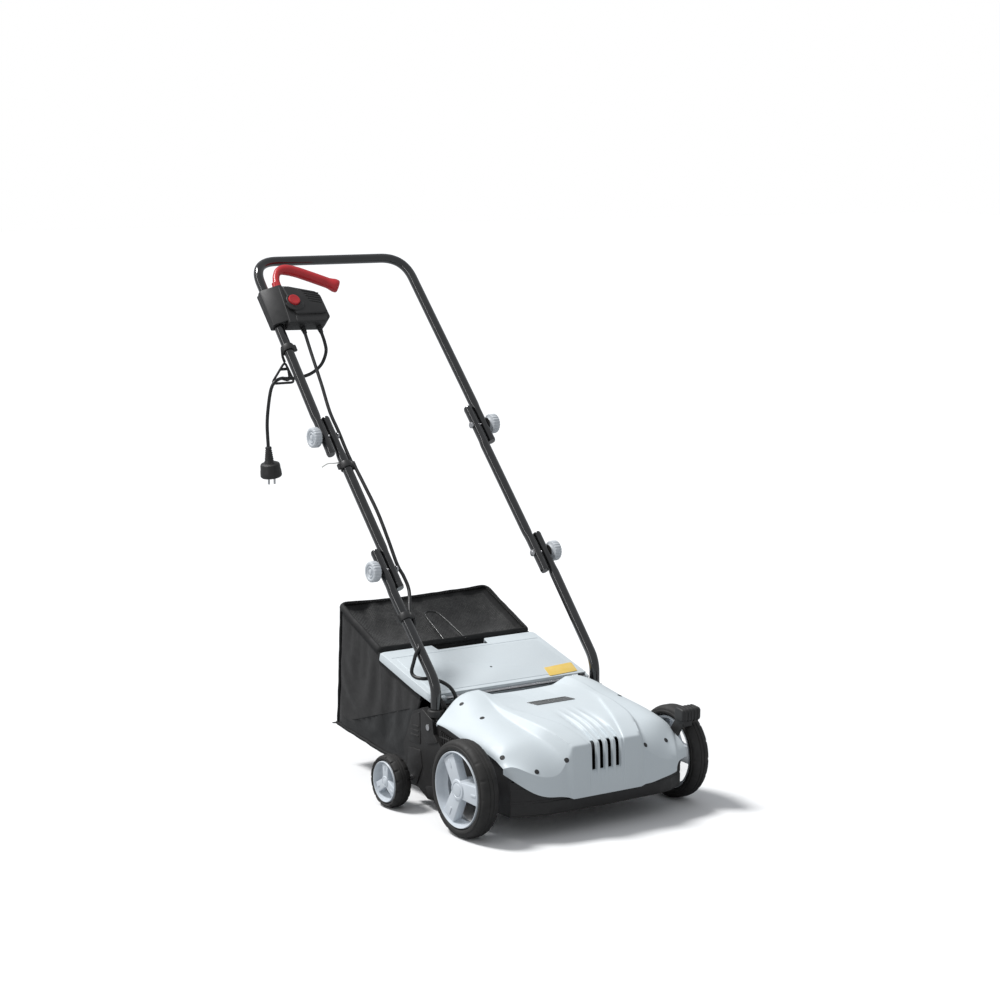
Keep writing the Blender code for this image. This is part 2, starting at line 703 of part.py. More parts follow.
def rotor(frame):
    """The dethatching rotor on its own axis: a core with discs, sprung wire tines and the driven pulley."""
    core = [(0.0, 0.174), (0.008, 0.174), (0.008, 0.1565), (0.019, 0.1565)]
    for i in range(DISC_COUNT):
        middle = disc_x(i)
        core += [(0.019, middle + 0.004), (0.031, middle + 0.003)]
        core += [(0.031, middle - 0.003), (0.019, middle - 0.004)]
    core += [(0.019, -0.1565), (0.008, -0.1565), (0.008, -0.1865), (0.0, -0.1865)]
    body = turned_x(core, (0, 0, 0), 12)
    finish(body, "rotor_core", frame, (BLACK_PLASTIC, 0.5, 0.0))
    for i in range(DISC_COUNT - 1):
        tine = spring_tine((disc_x(i) + disc_x(i + 1)) / 2, 67.0 * i)
        finish(tine, f"spring_tine_{i + 1}", frame, (STEEL, 0.3, 1.0))

    p0, p1 = PULLEY_SPAN_X
    centre = (p0 + p1) / 2
    reach = (p1 - p0) / 2
    rim = ROTOR_PULLEY_RADIUS
    flange = rim + 0.0024
    profile = [
        (0.0083, reach), (flange, reach), (flange, reach - 0.001), (rim, reach - 0.001),
        (rim, 0.001 - reach), (flange, 0.001 - reach), (flange, -reach), (0.0083, -reach),
    ]
    pulley = turned_x(profile, (centre, 0, 0), 16)
    finish(pulley, "rotor_pulley", frame, (BLACK_PLASTIC, 0.5, 0.0))


def disc_x(i):
    return DISC_PITCH * ((DISC_COUNT - 1) / 2 - i)


def spring_tine(x, start):
    """A double tine: a coil of one and a quarter turns round the core, with both ends standing out."""
    coil, wire_radius, rise = 0.0226, 0.0018, 0.012
    turn, steps = 450.0, 12
    path = []
    for i in range(steps + 1):
        angle = math.radians(start + turn * i / steps)
        along = x + rise * (i / steps - 0.5)
        path.append(Vector((along, coil * math.cos(angle), coil * math.sin(angle))))
    first, last = math.radians(start), math.radians(start + turn)
    for angle, lead, at_front in ((first, -1, True), (last, 1, False)):
        end = path[0] if at_front else path[-1]
        out = Vector((0, math.cos(angle), math.sin(angle)))
        across = Vector((0, -math.sin(angle), math.cos(angle))) * lead
        knee = end + across * 0.006 + out * 0.004
        tip = Vector((end.x, 0, 0)) + (out * math.cos(0.2) + across * math.sin(0.2)) * TINE_RADIUS
        path = [tip, knee] + path if at_front else path + [knee, tip]
    return wire(path, wire_radius, sides=1)


def bearings(datum):
    for side, name in ((-1, "left"), (1, "right")):
        ring = [(0.0083, 0.0042), (0.0175, 0.0042), (0.0175, -0.0042), (0.0083, -0.0042)]
        centre = (side * (CHAMBER_WALL_X - WALL / 2), *ROTOR_CENTRE)
        finish(turned_x(ring, centre, 16), f"rotor_bearing_{name}", datum, (STEEL, 0.25, 1.0))


def drive_belt(datum):
    """The toothed belt as a loop round both pulleys."""
    a, b = Vector(MOTOR_CENTRE), Vector(ROTOR_CENTRE)
    along = b - a
    line = math.degrees(math.atan2(along.y, along.x))
    spread = math.degrees(math.acos((ROTOR_PULLEY_RADIUS - MOTOR_PULLEY_RADIUS) / along.length))
    loops = []
    for gap in (BELT_GAP, BELT_GAP + BELT_THICKNESS):
        small = arc(a, MOTOR_PULLEY_RADIUS + gap, line + 180 - spread, line + 180 + spread, 6)
        large = arc(b, ROTOR_PULLEY_RADIUS + gap, line - 180 + spread, line + 180 - spread, 14)
        loops.append(small + large)
    low, high = PULLEY_SPAN_X[0] + 0.0015, PULLEY_SPAN_X[1] - 0.0015
    belt = plate_yz(loops[1], low, high)
    belt = cut(belt, plate_yz(loops[0], low - 0.01, high + 0.01, CUTTERS))
    finish(belt, "drive_belt", datum, (RUBBER, 0.8, 0.0))


def belt_cover(datum):
    low, high = 0.0005 - (OUTER_WALL_X - WALL), -(CHAMBER_WALL_X + 0.0005)
    tray = block((low, 0.040, 0.0455), (high, 0.166, 0.0485))
    lip = block((low, 0.040, 0.0455), (high, 0.043, 0.0605))
    tray = join(tray, lip)
    finish(tray, "belt_cover", datum, (BLACK_PLASTIC, 0.6, 0.0), smooth=False)


# ---------------------------------------------------------------- flap


def flap_rod(datum):
    reach = FLAP_HALF_WIDTH + 0.0025
    pin = rod((-reach, *FLAP_PIVOT), (reach, *FLAP_PIVOT), 0.003, 8)
    finish(pin, "flap_rod", datum, (STEEL, 0.3, 1.0))


def rear_flap(frame):
    """The flap in a frame that lies on its slope, with its hinge on the frame's X axis."""
    wide = FLAP_HALF_WIDTH
    flap = block((-wide, 0.0045, 0.005), (wide, FLAP_LENGTH, 0.008))
    lip = block((-wide, 0.0045, -0.0035), (wide, 0.0075, 0.006))
    rear = block((-wide, FLAP_LENGTH - 0.003, -0.009), (wide, FLAP_LENGTH, 0.006))
    notch = block((-0.060, FLAP_LENGTH - 0.020, -0.02), (0.060, FLAP_LENGTH + 0.01, 0.02), CUTTERS)
    step = block((-0.0615, FLAP_LENGTH - 0.023, -0.003), (0.0615, FLAP_LENGTH - 0.0185, 0.006))
    lugs = []
    for x in (-CHAMBER_WALL_X, CHAMBER_WALL_X):
        lugs.append(block((x - 0.0055, -0.02, -0.02), (x + 0.0055, 0.0095, 0.02), CUTTERS))
    flap = cut(join(flap, lip, rear), notch, *lugs)
    skirt = [(-0.006, -0.006), (0.060, -0.010), (0.190, -0.009), (FLAP_LENGTH, -0.009), (FLAP_LENGTH, 0.006)]
    skirt += [(0.006, 0.006), (-0.006, 0.004)]
    sides = [plate_yz(skirt, *sorted((s * (wide - 0.003), s * wide))) for s in (-1, 1)]
    flap = join(flap, step, *sides)
    flap = cut(flap, rod((-0.2, 0, 0), (0.2, 0, 0), 0.0034, 8, CUTTERS))
    finish(flap, "rear_flap", frame, (GREY_SHELL, 0.35, 0.0))


# ---------------------------------------------------------------- bag


def bag_shell(datum):
    """The collection bag as a thin closed body, open at the mouth that faces the chute."""
    wide = BAG_HALF_WIDTH
    bag = plate_yz(BAG_OUTLINE, -wide, wide)
    inner = inset(BAG_OUTLINE, BAG_WALL)
    inner[0] = (0.24, inner[0][1])
    inner[-2] = (0.20, inner[-2][1] - 0.012)
    inner[-1] = (0.20, 0.112)
    hollow = plate_yz(inner, BAG_WALL - wide, wide - BAG_WALL, CUTTERS)
    finish(cut(bag, hollow), "bag_body", datum, (MESH_BLACK, 0.9, 0.0), smooth=False)


def bag_frame(datum):
    """The steel wire loop that holds the mouth open, just inside the fabric."""
    wide = BAG_HALF_WIDTH - BAG_WALL - 0.0045
    low, high = (0.300, 0.0655), (0.276, 0.1865)
    loop = [(-wide, *low), (wide, *low), (wide, *high), (-wide, *high)]
    finish(wire(loop, 0.0028, closed=True, sides=1), "bag_mouth_frame", datum, (GLOSS_BLACK, 0.3, 0.8))


def bag_handle(datum):
    """The wire bail that stands on the front edge of the bag's top and leans back."""
    left, right = Vector((-0.031, 0.4115, 0.2708)), Vector((0.024, 0.4115, 0.2708))
    peak = [Vector((-0.020, 0.470, 0.3068)), Vector((0.008, 0.470, 0.3068))]
    path = rounded_path([left, peak[0], peak[1], right], (0.008, 0.008), 3)
    finish(wire(path, 0.0016, sides=1), "bag_carry_bail", datum, (GLOSS_BLACK, 0.3, 0.8))


# ---------------------------------------------------------------- handle


def lower_tubes(datum):
    c, s = math.cos(HANDLE_TILT), math.sin(HANDLE_TILT)
    for side, name in ((-1, "left"), (1, "right")):
        foot = (side * LOWER_TUBE_X, LOWER_TUBE_Y, TUBE_FOOT_Z)
        bend = (side * LOWER_TUBE_X, LOWER_TUBE_Y, LOWER_BEND_Z)
        pivot = Vector((side * OUTER_TUBE_X, *LOWER_PIVOT))
        top = pivot + Vector((0, c, s)) * TUBE_OVERLAP
        path = rounded_path([foot, bend, pivot, top], (LOWER_BEND, 0.02))
        tube = cut(hollow_tube(path, [pivot]), screw_line(side, 0.164, 0.204, 0.0034, 8, CUTTERS))
        finish(tube, f"lower_handle_tube_{name}", datum, (GLOSS_BLACK, 0.2, 0.6))
        screw = join(screw_line(side, 0.170, 0.2005, 0.003, 8), screw_line(side, 0.2003, 0.2035, 0.006, 12))
        finish(screw, f"tube_screw_{name}", datum, (STEEL, 0.3, 1.0))


def clamp_set(side, name, level, pivot_frame):
    """A carriage bolt through both tubes, and the hand knob on its outer end."""
    bolt = rod((side * 0.1580, 0, 0), (side * 0.1615, 0, 0), 0.0065, 12)
    shank = rod((side * 0.1612, 0, 0), (side * 0.2140, 0, 0), 0.003, 8)
    finish(join(bolt, shank), f"{level}_bolt_{name}", pivot_frame, (STEEL, 0.3, 1.0))
    face = OUTER_TUBE_X + TUBE_RADIUS * FLAT_KEEP + KNOB_GAP
    knob_frame = make_empty(f"{level}_knob_{name}_axis", (side * face, 0, 0), parent=pivot_frame)
    profile = [
        (0.0, 0.0205), (0.016, 0.0205), (0.0205, 0.0175), (0.0205, 0.0050), (0.0120, 0.0040),
        (0.0100, 0.0), (0.0034, 0.0), (0.0034, 0.0165), (0.0, 0.0165),
    ]
    knob = turned_x(profile, (0, 0, 0), 16, side)
    finish(knob, f"{level}_knob_{name}", knob_frame, (GREY_SHELL, 0.45, 0.0))


def middle_tubes(frame):
    """Two straight tubes, in a frame on the lower pivot tilted to the handle's slope."""
    upper = middle_vector()
    along = upper.normalized()
    for side, name in ((-1, "left"), (1, "right")):
        x = Vector((side * INNER_TUBE_X, 0, 0))
        path = [x - along * TUBE_OVERLAP, x - along * 0.036, x, x + along * 0.036, x + along * 0.06]
        path += [x + upper - along * 0.06, x + upper - along * 0.036, x + upper, x + upper + along * 0.036]
        path.append(x + upper + along * TUBE_OVERLAP)
        tube = hollow_tube(path, [x, x + upper])
        finish(tube, f"middle_handle_tube_{name}", frame, (GLOSS_BLACK, 0.2, 0.6))


def middle_vector():
    """From the lower to the upper pivot, in the tilted frame."""
    rise = Vector((0.0, UPPER_PIVOT[0] - LOWER_PIVOT[0], UPPER_PIVOT[1] - LOWER_PIVOT[1]))
    return Matrix.Rotation(-HANDLE_TILT, 3, "X") @ rise


def upper_leg_x(distance):
    """How far from the middle the upper handle's leg is, at a distance up from the upper pivot."""
    return OUTER_TUBE_X + (UPPER_CORNER_X - OUTER_TUBE_X) * distance / UPPER_LENGTH


def upper_handle(frame):
    """The one-piece U-shaped bar, from the left leg's lower end round the grip to the right one's."""
    right = [Vector((upper_leg_x(y), y, 0)) for y in (-TUBE_OVERLAP, 0.0, 0.04, 0.07)]
    left = [Vector((-p.x, p.y, 0)) for p in right]
    corners = [Vector((-UPPER_CORNER_X, UPPER_LENGTH, 0)), Vector((UPPER_CORNER_X, UPPER_LENGTH, 0))]
    grip = rounded_path([left[-1], *corners, right[-1]], (UPPER_BEND, UPPER_BEND), 6)
    bar = hollow_tube(left[:-1] + grip + right[-2::-1], [left[1], right[1]])
    finish(bar, "upper_handle_bar", frame, (GLOSS_BLACK, 0.2, 0.6))


def box_outline(foot):
    """The switch box in the handle's plane, down to its foot."""
    return [
        (-0.092, foot), (-0.0805, foot + 0.011), (-0.0805, 0.333), (-0.090, 0.344), (-0.150, 0.360),
        (-0.2015, 0.356), (-0.2015, foot + 0.007), (-0.190, foot),
    ]


def box_cavity(foot):
    low = foot + 0.006
    return [
        (-0.092, low), (-0.086, low + 0.008), (-0.086, 0.330), (-0.093, 0.338), (-0.150, 0.3535),
        (-0.162, 0.350), (-0.162, low),
    ]


def leg_cutter():
    low, high = 0.20, 0.42
    bore = TUBE_RADIUS + CLEARANCE + 0.0002
    return rod((-upper_leg_x(low), low, 0), (-upper_leg_x(high), high, 0), bore, 16, CUTTERS)


def switch_box(frame):
    """Two moulded halves that clamp round the left leg of the upper handle."""
    gap = CLEARANCE / 2
    front = plate_xy(box_outline(FRONT_HALF_FOOT), gap, BOX_FRONT)
    hollow = plate_xy(box_cavity(FRONT_HALF_FOOT), -0.01, BOX_FRONT - 0.0025, CUTTERS)
    front = cut(front, leg_cutter(), hollow)
    lever_slot = block((-0.1680, 0.336, -0.001), (-0.1300, 0.38, 0.0190), CUTTERS)
    x, y = BUTTON_CENTRE
    button_hole = rod((x, y, 0.02), (x, y, 0.05), BUTTON_RADIUS + 0.0005, 20, CUTTERS)
    collar = rod((x, y, BOX_FRONT - 0.001), (x, y, BOX_FRONT + 0.002), BUTTON_RADIUS + 0.004, 20)
    cord_holes = [cord_hole(MOTOR_CORD_EXIT), cord_hole(SUPPLY_CORD_EXIT)]
    front = cut(join(front, collar), lever_slot, button_hole, *cord_holes)
    finish(front, "switch_box_front", frame, (BLACK_PLASTIC, 0.55, 0.0))

    back = plate_xy(box_outline(BACK_HALF_FOOT), BOX_BACK, -gap)
    back = cut(back, leg_cutter(), plate_xy(box_cavity(BACK_HALF_FOOT), BOX_BACK + 0.0025, 0.01, CUTTERS))
    finish(back, "switch_box_back", frame, (BLACK_PLASTIC, 0.55, 0.0))


def cord_hole(exit_point):
    x, y, n = exit_point
    return rod((x, y - 0.01, n), (x, y + 0.03, n), CABLE_RADIUS + 0.0006, 8, CUTTERS)


def start_button(frame):
    body = rod((0, 0, -0.012), (0, 0, 0.0045), BUTTON_RADIUS, 20)
    crown = rod((0, 0, 0.0040), (0, 0, 0.0060), BUTTON_RADIUS, 20, end_radius=BUTTON_RADIUS - 0.0015)
    finish(join(body, crown), "start_button", frame, (RED_PLASTIC, 0.35, 0.0))


def bail_lever(frame):
    """The switch lever in its own frame: a root disc, a stem and the bent hand grip."""
    x0, y0, _ = LEVER_PIVOT
    root = rod((0, 0, -0.006), (0, 0, 0.006), 0.0095, 16)
    knee = [(x0, y0), (-0.1525, 0.388), (-0.1500, 0.404), (-0.1380, 0.4190)]
    knee += [(-0.1200, 0.4240), (-0.1000, 0.4195), (-0.0850, 0.4120)]
    stem = wire([Vector((x - x0, y - y0, 0)) for x, y in knee], 0.0065, sides=3)
    start, end = (-0.1070 - x0, 0.4215 - y0, 0), (-0.0170 - x0, 0.3750 - y0, 0)
    grip = rod(start, end, 0.0095, 12, end_radius=0.0115)
    finish(join(stem, root, grip), "bail_lever", frame, (RED_PLASTIC, 0.4, 0.0))


# ---------------------------------------------------------------- cables


def cord_hook(frame):
    """A strain-relief hook: a band round the left leg and a wire triangle that hangs below it."""
    at = Vector((-upper_leg_x(HOOK_LEVEL), HOOK_LEVEL, 0))
    along = Vector((OUTER_TUBE_X - UPPER_CORNER_X, UPPER_LENGTH, 0)).normalized()
    band = rod(at - along * 0.007, at + along * 0.007, TUBE_RADIUS + 0.0035, 16)
    band = cut(band, rod(at - along * 0.02, at + along * 0.02, TUBE_RADIUS + 0.0005, 16, CUTTERS))
    to_local = handle_to_local(UPPER_PIVOT)
    corners = [(-0.192, 0.741, 0.806), (-0.2230, 0.741, 0.763), (-0.1700, 0.741, 0.763)]
    loop = [to_local @ Vector(corner) for corner in corners]
    outboard = at.lerp(loop[0], 0.55) + Vector((-0.008, 0, 0))
    stem = wire([at + Vector((-0.0138, 0, 0)), outboard, loop[0]], 0.0024, sides=1)
    band = join(band, stem, wire(loop, 0.0022, closed=True, sides=1))
    finish(band, "cord_hook", frame, (BLACK_PLASTIC, 0.5, 0.0))


def handle_to_local(pivot):
    """From the machine's axes to the tilted frame on one of the handle's pivots."""
    return (Matrix.Translation((0.0, *pivot)) @ Matrix.Rotation(HANDLE_TILT, 4, "X")).inverted()


def supply_cord(frame):
    """The mains lead: from the box, down and back through the hook, then hanging to the plug."""
    hang = [(-0.0920, 0.752, 0.840), (-0.0900, 0.751, 0.820), (-0.1010, 0.752, 0.795)]
    hang += [(-0.1250, 0.752, 0.778), (-0.1550, 0.754, 0.7705), (-0.1830, 0.752, 0.7710)]
    hang += [(-0.2000, 0.741, 0.7730), (-0.2190, 0.730, 0.7690), (-0.2295, 0.730, 0.7550)]
    hang += [(-0.2345, 0.734, 0.7200), (-0.2360, 0.738, 0.6800), (-0.2330, 0.740, 0.6375)]
    to_local = handle_to_local(UPPER_PIVOT)
    x, y, n = SUPPLY_CORD_EXIT
    path = [Vector((x, y + 0.008, n)), Vector((x, y - 0.014, n))]
    path += [to_local @ Vector(point) for point in hang]
    finish(wire(path, CABLE_RADIUS), "supply_cord", frame, (GLOSS_BLACK, 0.45, 0.0))


def mains_plug(frame):
    """A round moulded plug with a tapered neck and two flat blades."""
    to_local = handle_to_local(UPPER_PIVOT)
    neck = rod((-0.2330, 0.740, 0.6363), (-0.2315, 0.740, 0.599), 0.006, 12, end_radius=0.0105)
    body = rod((-0.2295, 0.741, 0.601), (-0.2250, 0.744, 0.573), 0.0200, 16, end_radius=0.0225)
    blades = []
    for shift in (-0.0065, 0.0065):
        blades.append(block((-0.2265 + shift, 0.7400, 0.557), (-0.2235 + shift, 0.7460, 0.575)))
    plug = join(neck, body, *blades)
    plug.data.transform(to_local)
    finish(plug, "mains_plug", frame, (BLACK_PLASTIC, 0.5, 0.0))


def motor_cable(upper_frame, middle_frame, datum):
    """The motor's cable in three lengths, one for each part of the folding handle."""
    x, y, n = MOTOR_CORD_EXIT
    upper = [(x, y + 0.008, n), (x, y - 0.012, n), (-0.1450, 0.200, 0.010), (-0.1500, 0.120, 0.006)]
    upper += [(CABLE_X, 0.060, 0.0), (CABLE_X, 0.008, 0.0)]
    look = (GLOSS_BLACK, 0.45, 0.0)
    finish(wire([Vector(p) for p in upper], CABLE_RADIUS), "motor_cable_upper", upper_frame, look)

    top, foot = middle_vector(), Vector((CABLE_X, 0.0, 0.0))
    short = 0.008 / top.length
    middle = [foot + top * share for share in (1.0 - short, 0.75, 0.5, 0.25, short)]
    finish(wire(middle, CABLE_RADIUS), "motor_cable_middle", middle_frame, look)

    along = lower_tube_run()
    inboard = Vector((LOWER_CABLE_OFFSET, 0, 0))
    held = Vector((-OUTER_TUBE_X, 0, 0)) + along * LOWER_CLIP_SHARE + inboard
    lower = [Vector((CABLE_X, -0.008, 0.0)), Vector((CABLE_X, -0.050, 0.0))]
    lower += [held + Vector((0, 0.008, 0)), held + Vector((0, -0.010, 0))]
    lower += [Vector((-0.182, -0.146, -0.0165)), Vector((-0.2020, -0.160, -0.0100))]
    from_local = handle_to_local(LOWER_PIVOT).inverted()
    lower = [from_local @ p for p in lower]
    loop = [(-0.2065, 0.250, 0.268), (-0.2050, 0.236, 0.247), (-0.1990, 0.221, 0.239)]
    loop += [(-0.1860, 0.2075, 0.2355), (-0.1700, 0.200, 0.233), (-0.1550, 0.1915, 0.227)]
    loop += [(-0.1440, 0.186, 0.214), (-0.1380, 0.184, 0.200)]
    lower += [Vector(point) for point in loop]
    finish(wire(lower, CABLE_RADIUS), "motor_cable_lower", datum, look)


def lower_tube_run():
    """From the left lower pivot to the left lower tube's bend, in the lower pivot's tilted frame."""
    bend = Vector((-LOWER_TUBE_X, LOWER_TUBE_Y, LOWER_BEND_Z))
    return handle_to_local(LOWER_PIVOT) @ bend - Vector((-OUTER_TUBE_X, 0, 0))


def cable_clip(name, frame, tube_point, along, inboard):
    """A strap clip round a tube, with a second eye for the cable on the tube's inner side."""
    step = along.normalized() * 0.007
    bodies, bores = [], []
    cable_point = tube_point + Vector((inboard, 0, 0))
    for centre, radius in ((tube_point, TUBE_RADIUS), (cable_point, CABLE_RADIUS)):
        bodies.append(rod(centre - step, centre + step, radius + 0.0028, 16))
        bores.append(rod(centre - step * 1.6, centre + step * 1.6, radius + 0.0007, 14, CUTTERS))
    finish(cut(join(*bodies), *bores), name, frame, (BLACK_PLASTIC, 0.5, 0.0))


# ---------------------------------------------------------------- assembly


def build():
    datum = make_empty("machine_datum", (0.0, -BOX_MIDDLE_Y, 0.0))
    crank_frame = make_empty("depth_crank_axis", (0.0, *CRANK_PIVOT), parent=datum)
    depth_crank(crank_frame)
    wheels(crank_frame, datum)
    rear_axle(datum)

    housing(datum)
    top_cover(datum)
    badge(datum)
    bearings(datum)
    drive_belt(datum)
    belt_cover(datum)
    rotor(make_empty("rotor_axis", (0.0, *ROTOR_CENTRE), parent=datum))
    motor(datum, make_empty("motor_axis", (0.0, *MOTOR_CENTRE), parent=datum))

    flap_rod(datum)
    rear_flap(make_empty("flap_axis", (0.0, *FLAP_PIVOT), FLAP_SLOPE, datum))
    bag_shell(datum)
    bag_frame(datum)
    bag_handle(datum)

    lower_tubes(datum)
    lower_frame = make_empty("lower_fold_axis", (0.0, *LOWER_PIVOT), HANDLE_TILT, datum)
    upper_frame = make_empty("upper_fold_axis", (0.0, *UPPER_PIVOT), HANDLE_TILT, datum)
    middle_tubes(lower_frame)
    upper_handle(upper_frame)
    for side, name in ((-1, "left"), (1, "right")):
        clamp_set(side, name, "lower", lower_frame)
        clamp_set(side, name, "upper", upper_frame)

    switch_box(upper_frame)
    start_button(make_empty("button_axis", (*BUTTON_CENTRE, BOX_FRONT), parent=upper_frame))
    bail_lever(make_empty("lever_axis", LEVER_PIVOT, parent=upper_frame))
    cord_hook(upper_frame)
    supply_cord(upper_frame)
    mains_plug(upper_frame)
    motor_cable(upper_frame, lower_frame, datum)
    run = middle_vector()
    at = Vector((-INNER_TUBE_X, 0, 0)) + run * UPPER_CLIP_SHARE
    cable_clip("cable_clip_upper", lower_frame, at, run, CABLE_X + INNER_TUBE_X)
    run = lower_tube_run()
    at = Vector((-OUTER_TUBE_X, 0, 0)) + run * LOWER_CLIP_SHARE
    cable_clip("cable_clip_lower", lower_frame, at, run, LOWER_CABLE_OFFSET)


clear_scene()
PARTS = make_collection("lawn_dethatcher")
CUTTERS = make_collection("cutters")
build()
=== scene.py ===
"""The looks of a walk-behind lawn dethatcher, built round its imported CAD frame.

Most positions below are in the deck's own frame: Y runs back from the front axle and Z up from the ground.
Handle pieces are placed in the handle's plane instead: X across, Y up it from a pivot, Z off its face.
"""

import json
import math

import bmesh
import bpy
from mathutils import Matrix, Vector, noise
from mathutils.bvhtree import BVHTree
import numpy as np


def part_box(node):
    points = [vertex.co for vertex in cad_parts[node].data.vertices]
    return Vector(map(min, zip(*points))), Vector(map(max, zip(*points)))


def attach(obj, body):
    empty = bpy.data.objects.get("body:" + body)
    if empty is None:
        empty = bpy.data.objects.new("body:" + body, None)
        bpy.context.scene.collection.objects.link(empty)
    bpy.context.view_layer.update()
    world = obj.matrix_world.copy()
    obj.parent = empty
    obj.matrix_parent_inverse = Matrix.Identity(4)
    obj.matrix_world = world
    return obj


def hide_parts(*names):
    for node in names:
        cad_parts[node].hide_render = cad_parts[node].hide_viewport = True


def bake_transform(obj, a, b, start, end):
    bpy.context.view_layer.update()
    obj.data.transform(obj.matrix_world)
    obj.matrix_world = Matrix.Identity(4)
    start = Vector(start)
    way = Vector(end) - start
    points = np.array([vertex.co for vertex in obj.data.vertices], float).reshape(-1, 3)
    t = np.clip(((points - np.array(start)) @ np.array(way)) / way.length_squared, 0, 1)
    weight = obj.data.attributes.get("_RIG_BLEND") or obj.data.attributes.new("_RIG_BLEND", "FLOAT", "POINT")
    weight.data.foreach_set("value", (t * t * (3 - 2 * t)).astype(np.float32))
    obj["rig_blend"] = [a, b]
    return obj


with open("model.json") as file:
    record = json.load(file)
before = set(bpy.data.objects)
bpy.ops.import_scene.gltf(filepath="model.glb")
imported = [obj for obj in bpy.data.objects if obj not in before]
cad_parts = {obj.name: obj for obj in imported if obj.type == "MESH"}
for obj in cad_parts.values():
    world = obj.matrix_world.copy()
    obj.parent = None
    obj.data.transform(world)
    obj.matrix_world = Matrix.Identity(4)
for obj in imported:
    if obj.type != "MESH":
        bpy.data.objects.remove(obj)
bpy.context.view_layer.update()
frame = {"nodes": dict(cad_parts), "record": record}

SIDES = ((-1, "left"), (1, "right"))
HANDLE_TILT = math.radians(47.6)
FLAP_SLOPE = math.radians(15.0)


def middle(node):
    """The middle of a CAD node's box."""
    low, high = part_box(node)
    return (low + high) / 2


DATUM = Matrix.Translation((0, middle("front_left_hub").y, 0))
UPPER_PIVOT = middle("upper_bolt_left")
LOWER_PIVOT = middle("lower_bolt_left")
FLAP_PIVOT = middle("flap_rod")


def tilted(point, angle):
    """A frame in the middle plane at a point's height and depth, leaning back by an angle."""
    return Matrix.Translation((0, point.y, point.z)) @ Matrix.Rotation(angle, 4, "X")


UPPER = tilted(UPPER_PIVOT, HANDLE_TILT)
LOWER = tilted(LOWER_PIVOT, HANDLE_TILT)
FLAP = tilted(FLAP_PIVOT, FLAP_SLOPE)
WORLD = Matrix.Identity(4)
UPRIGHT = Matrix.Rotation(-math.pi / 2, 4, "Y")
SHARP_TURN = 0.6

# ---------------------------------------------------------------- materials


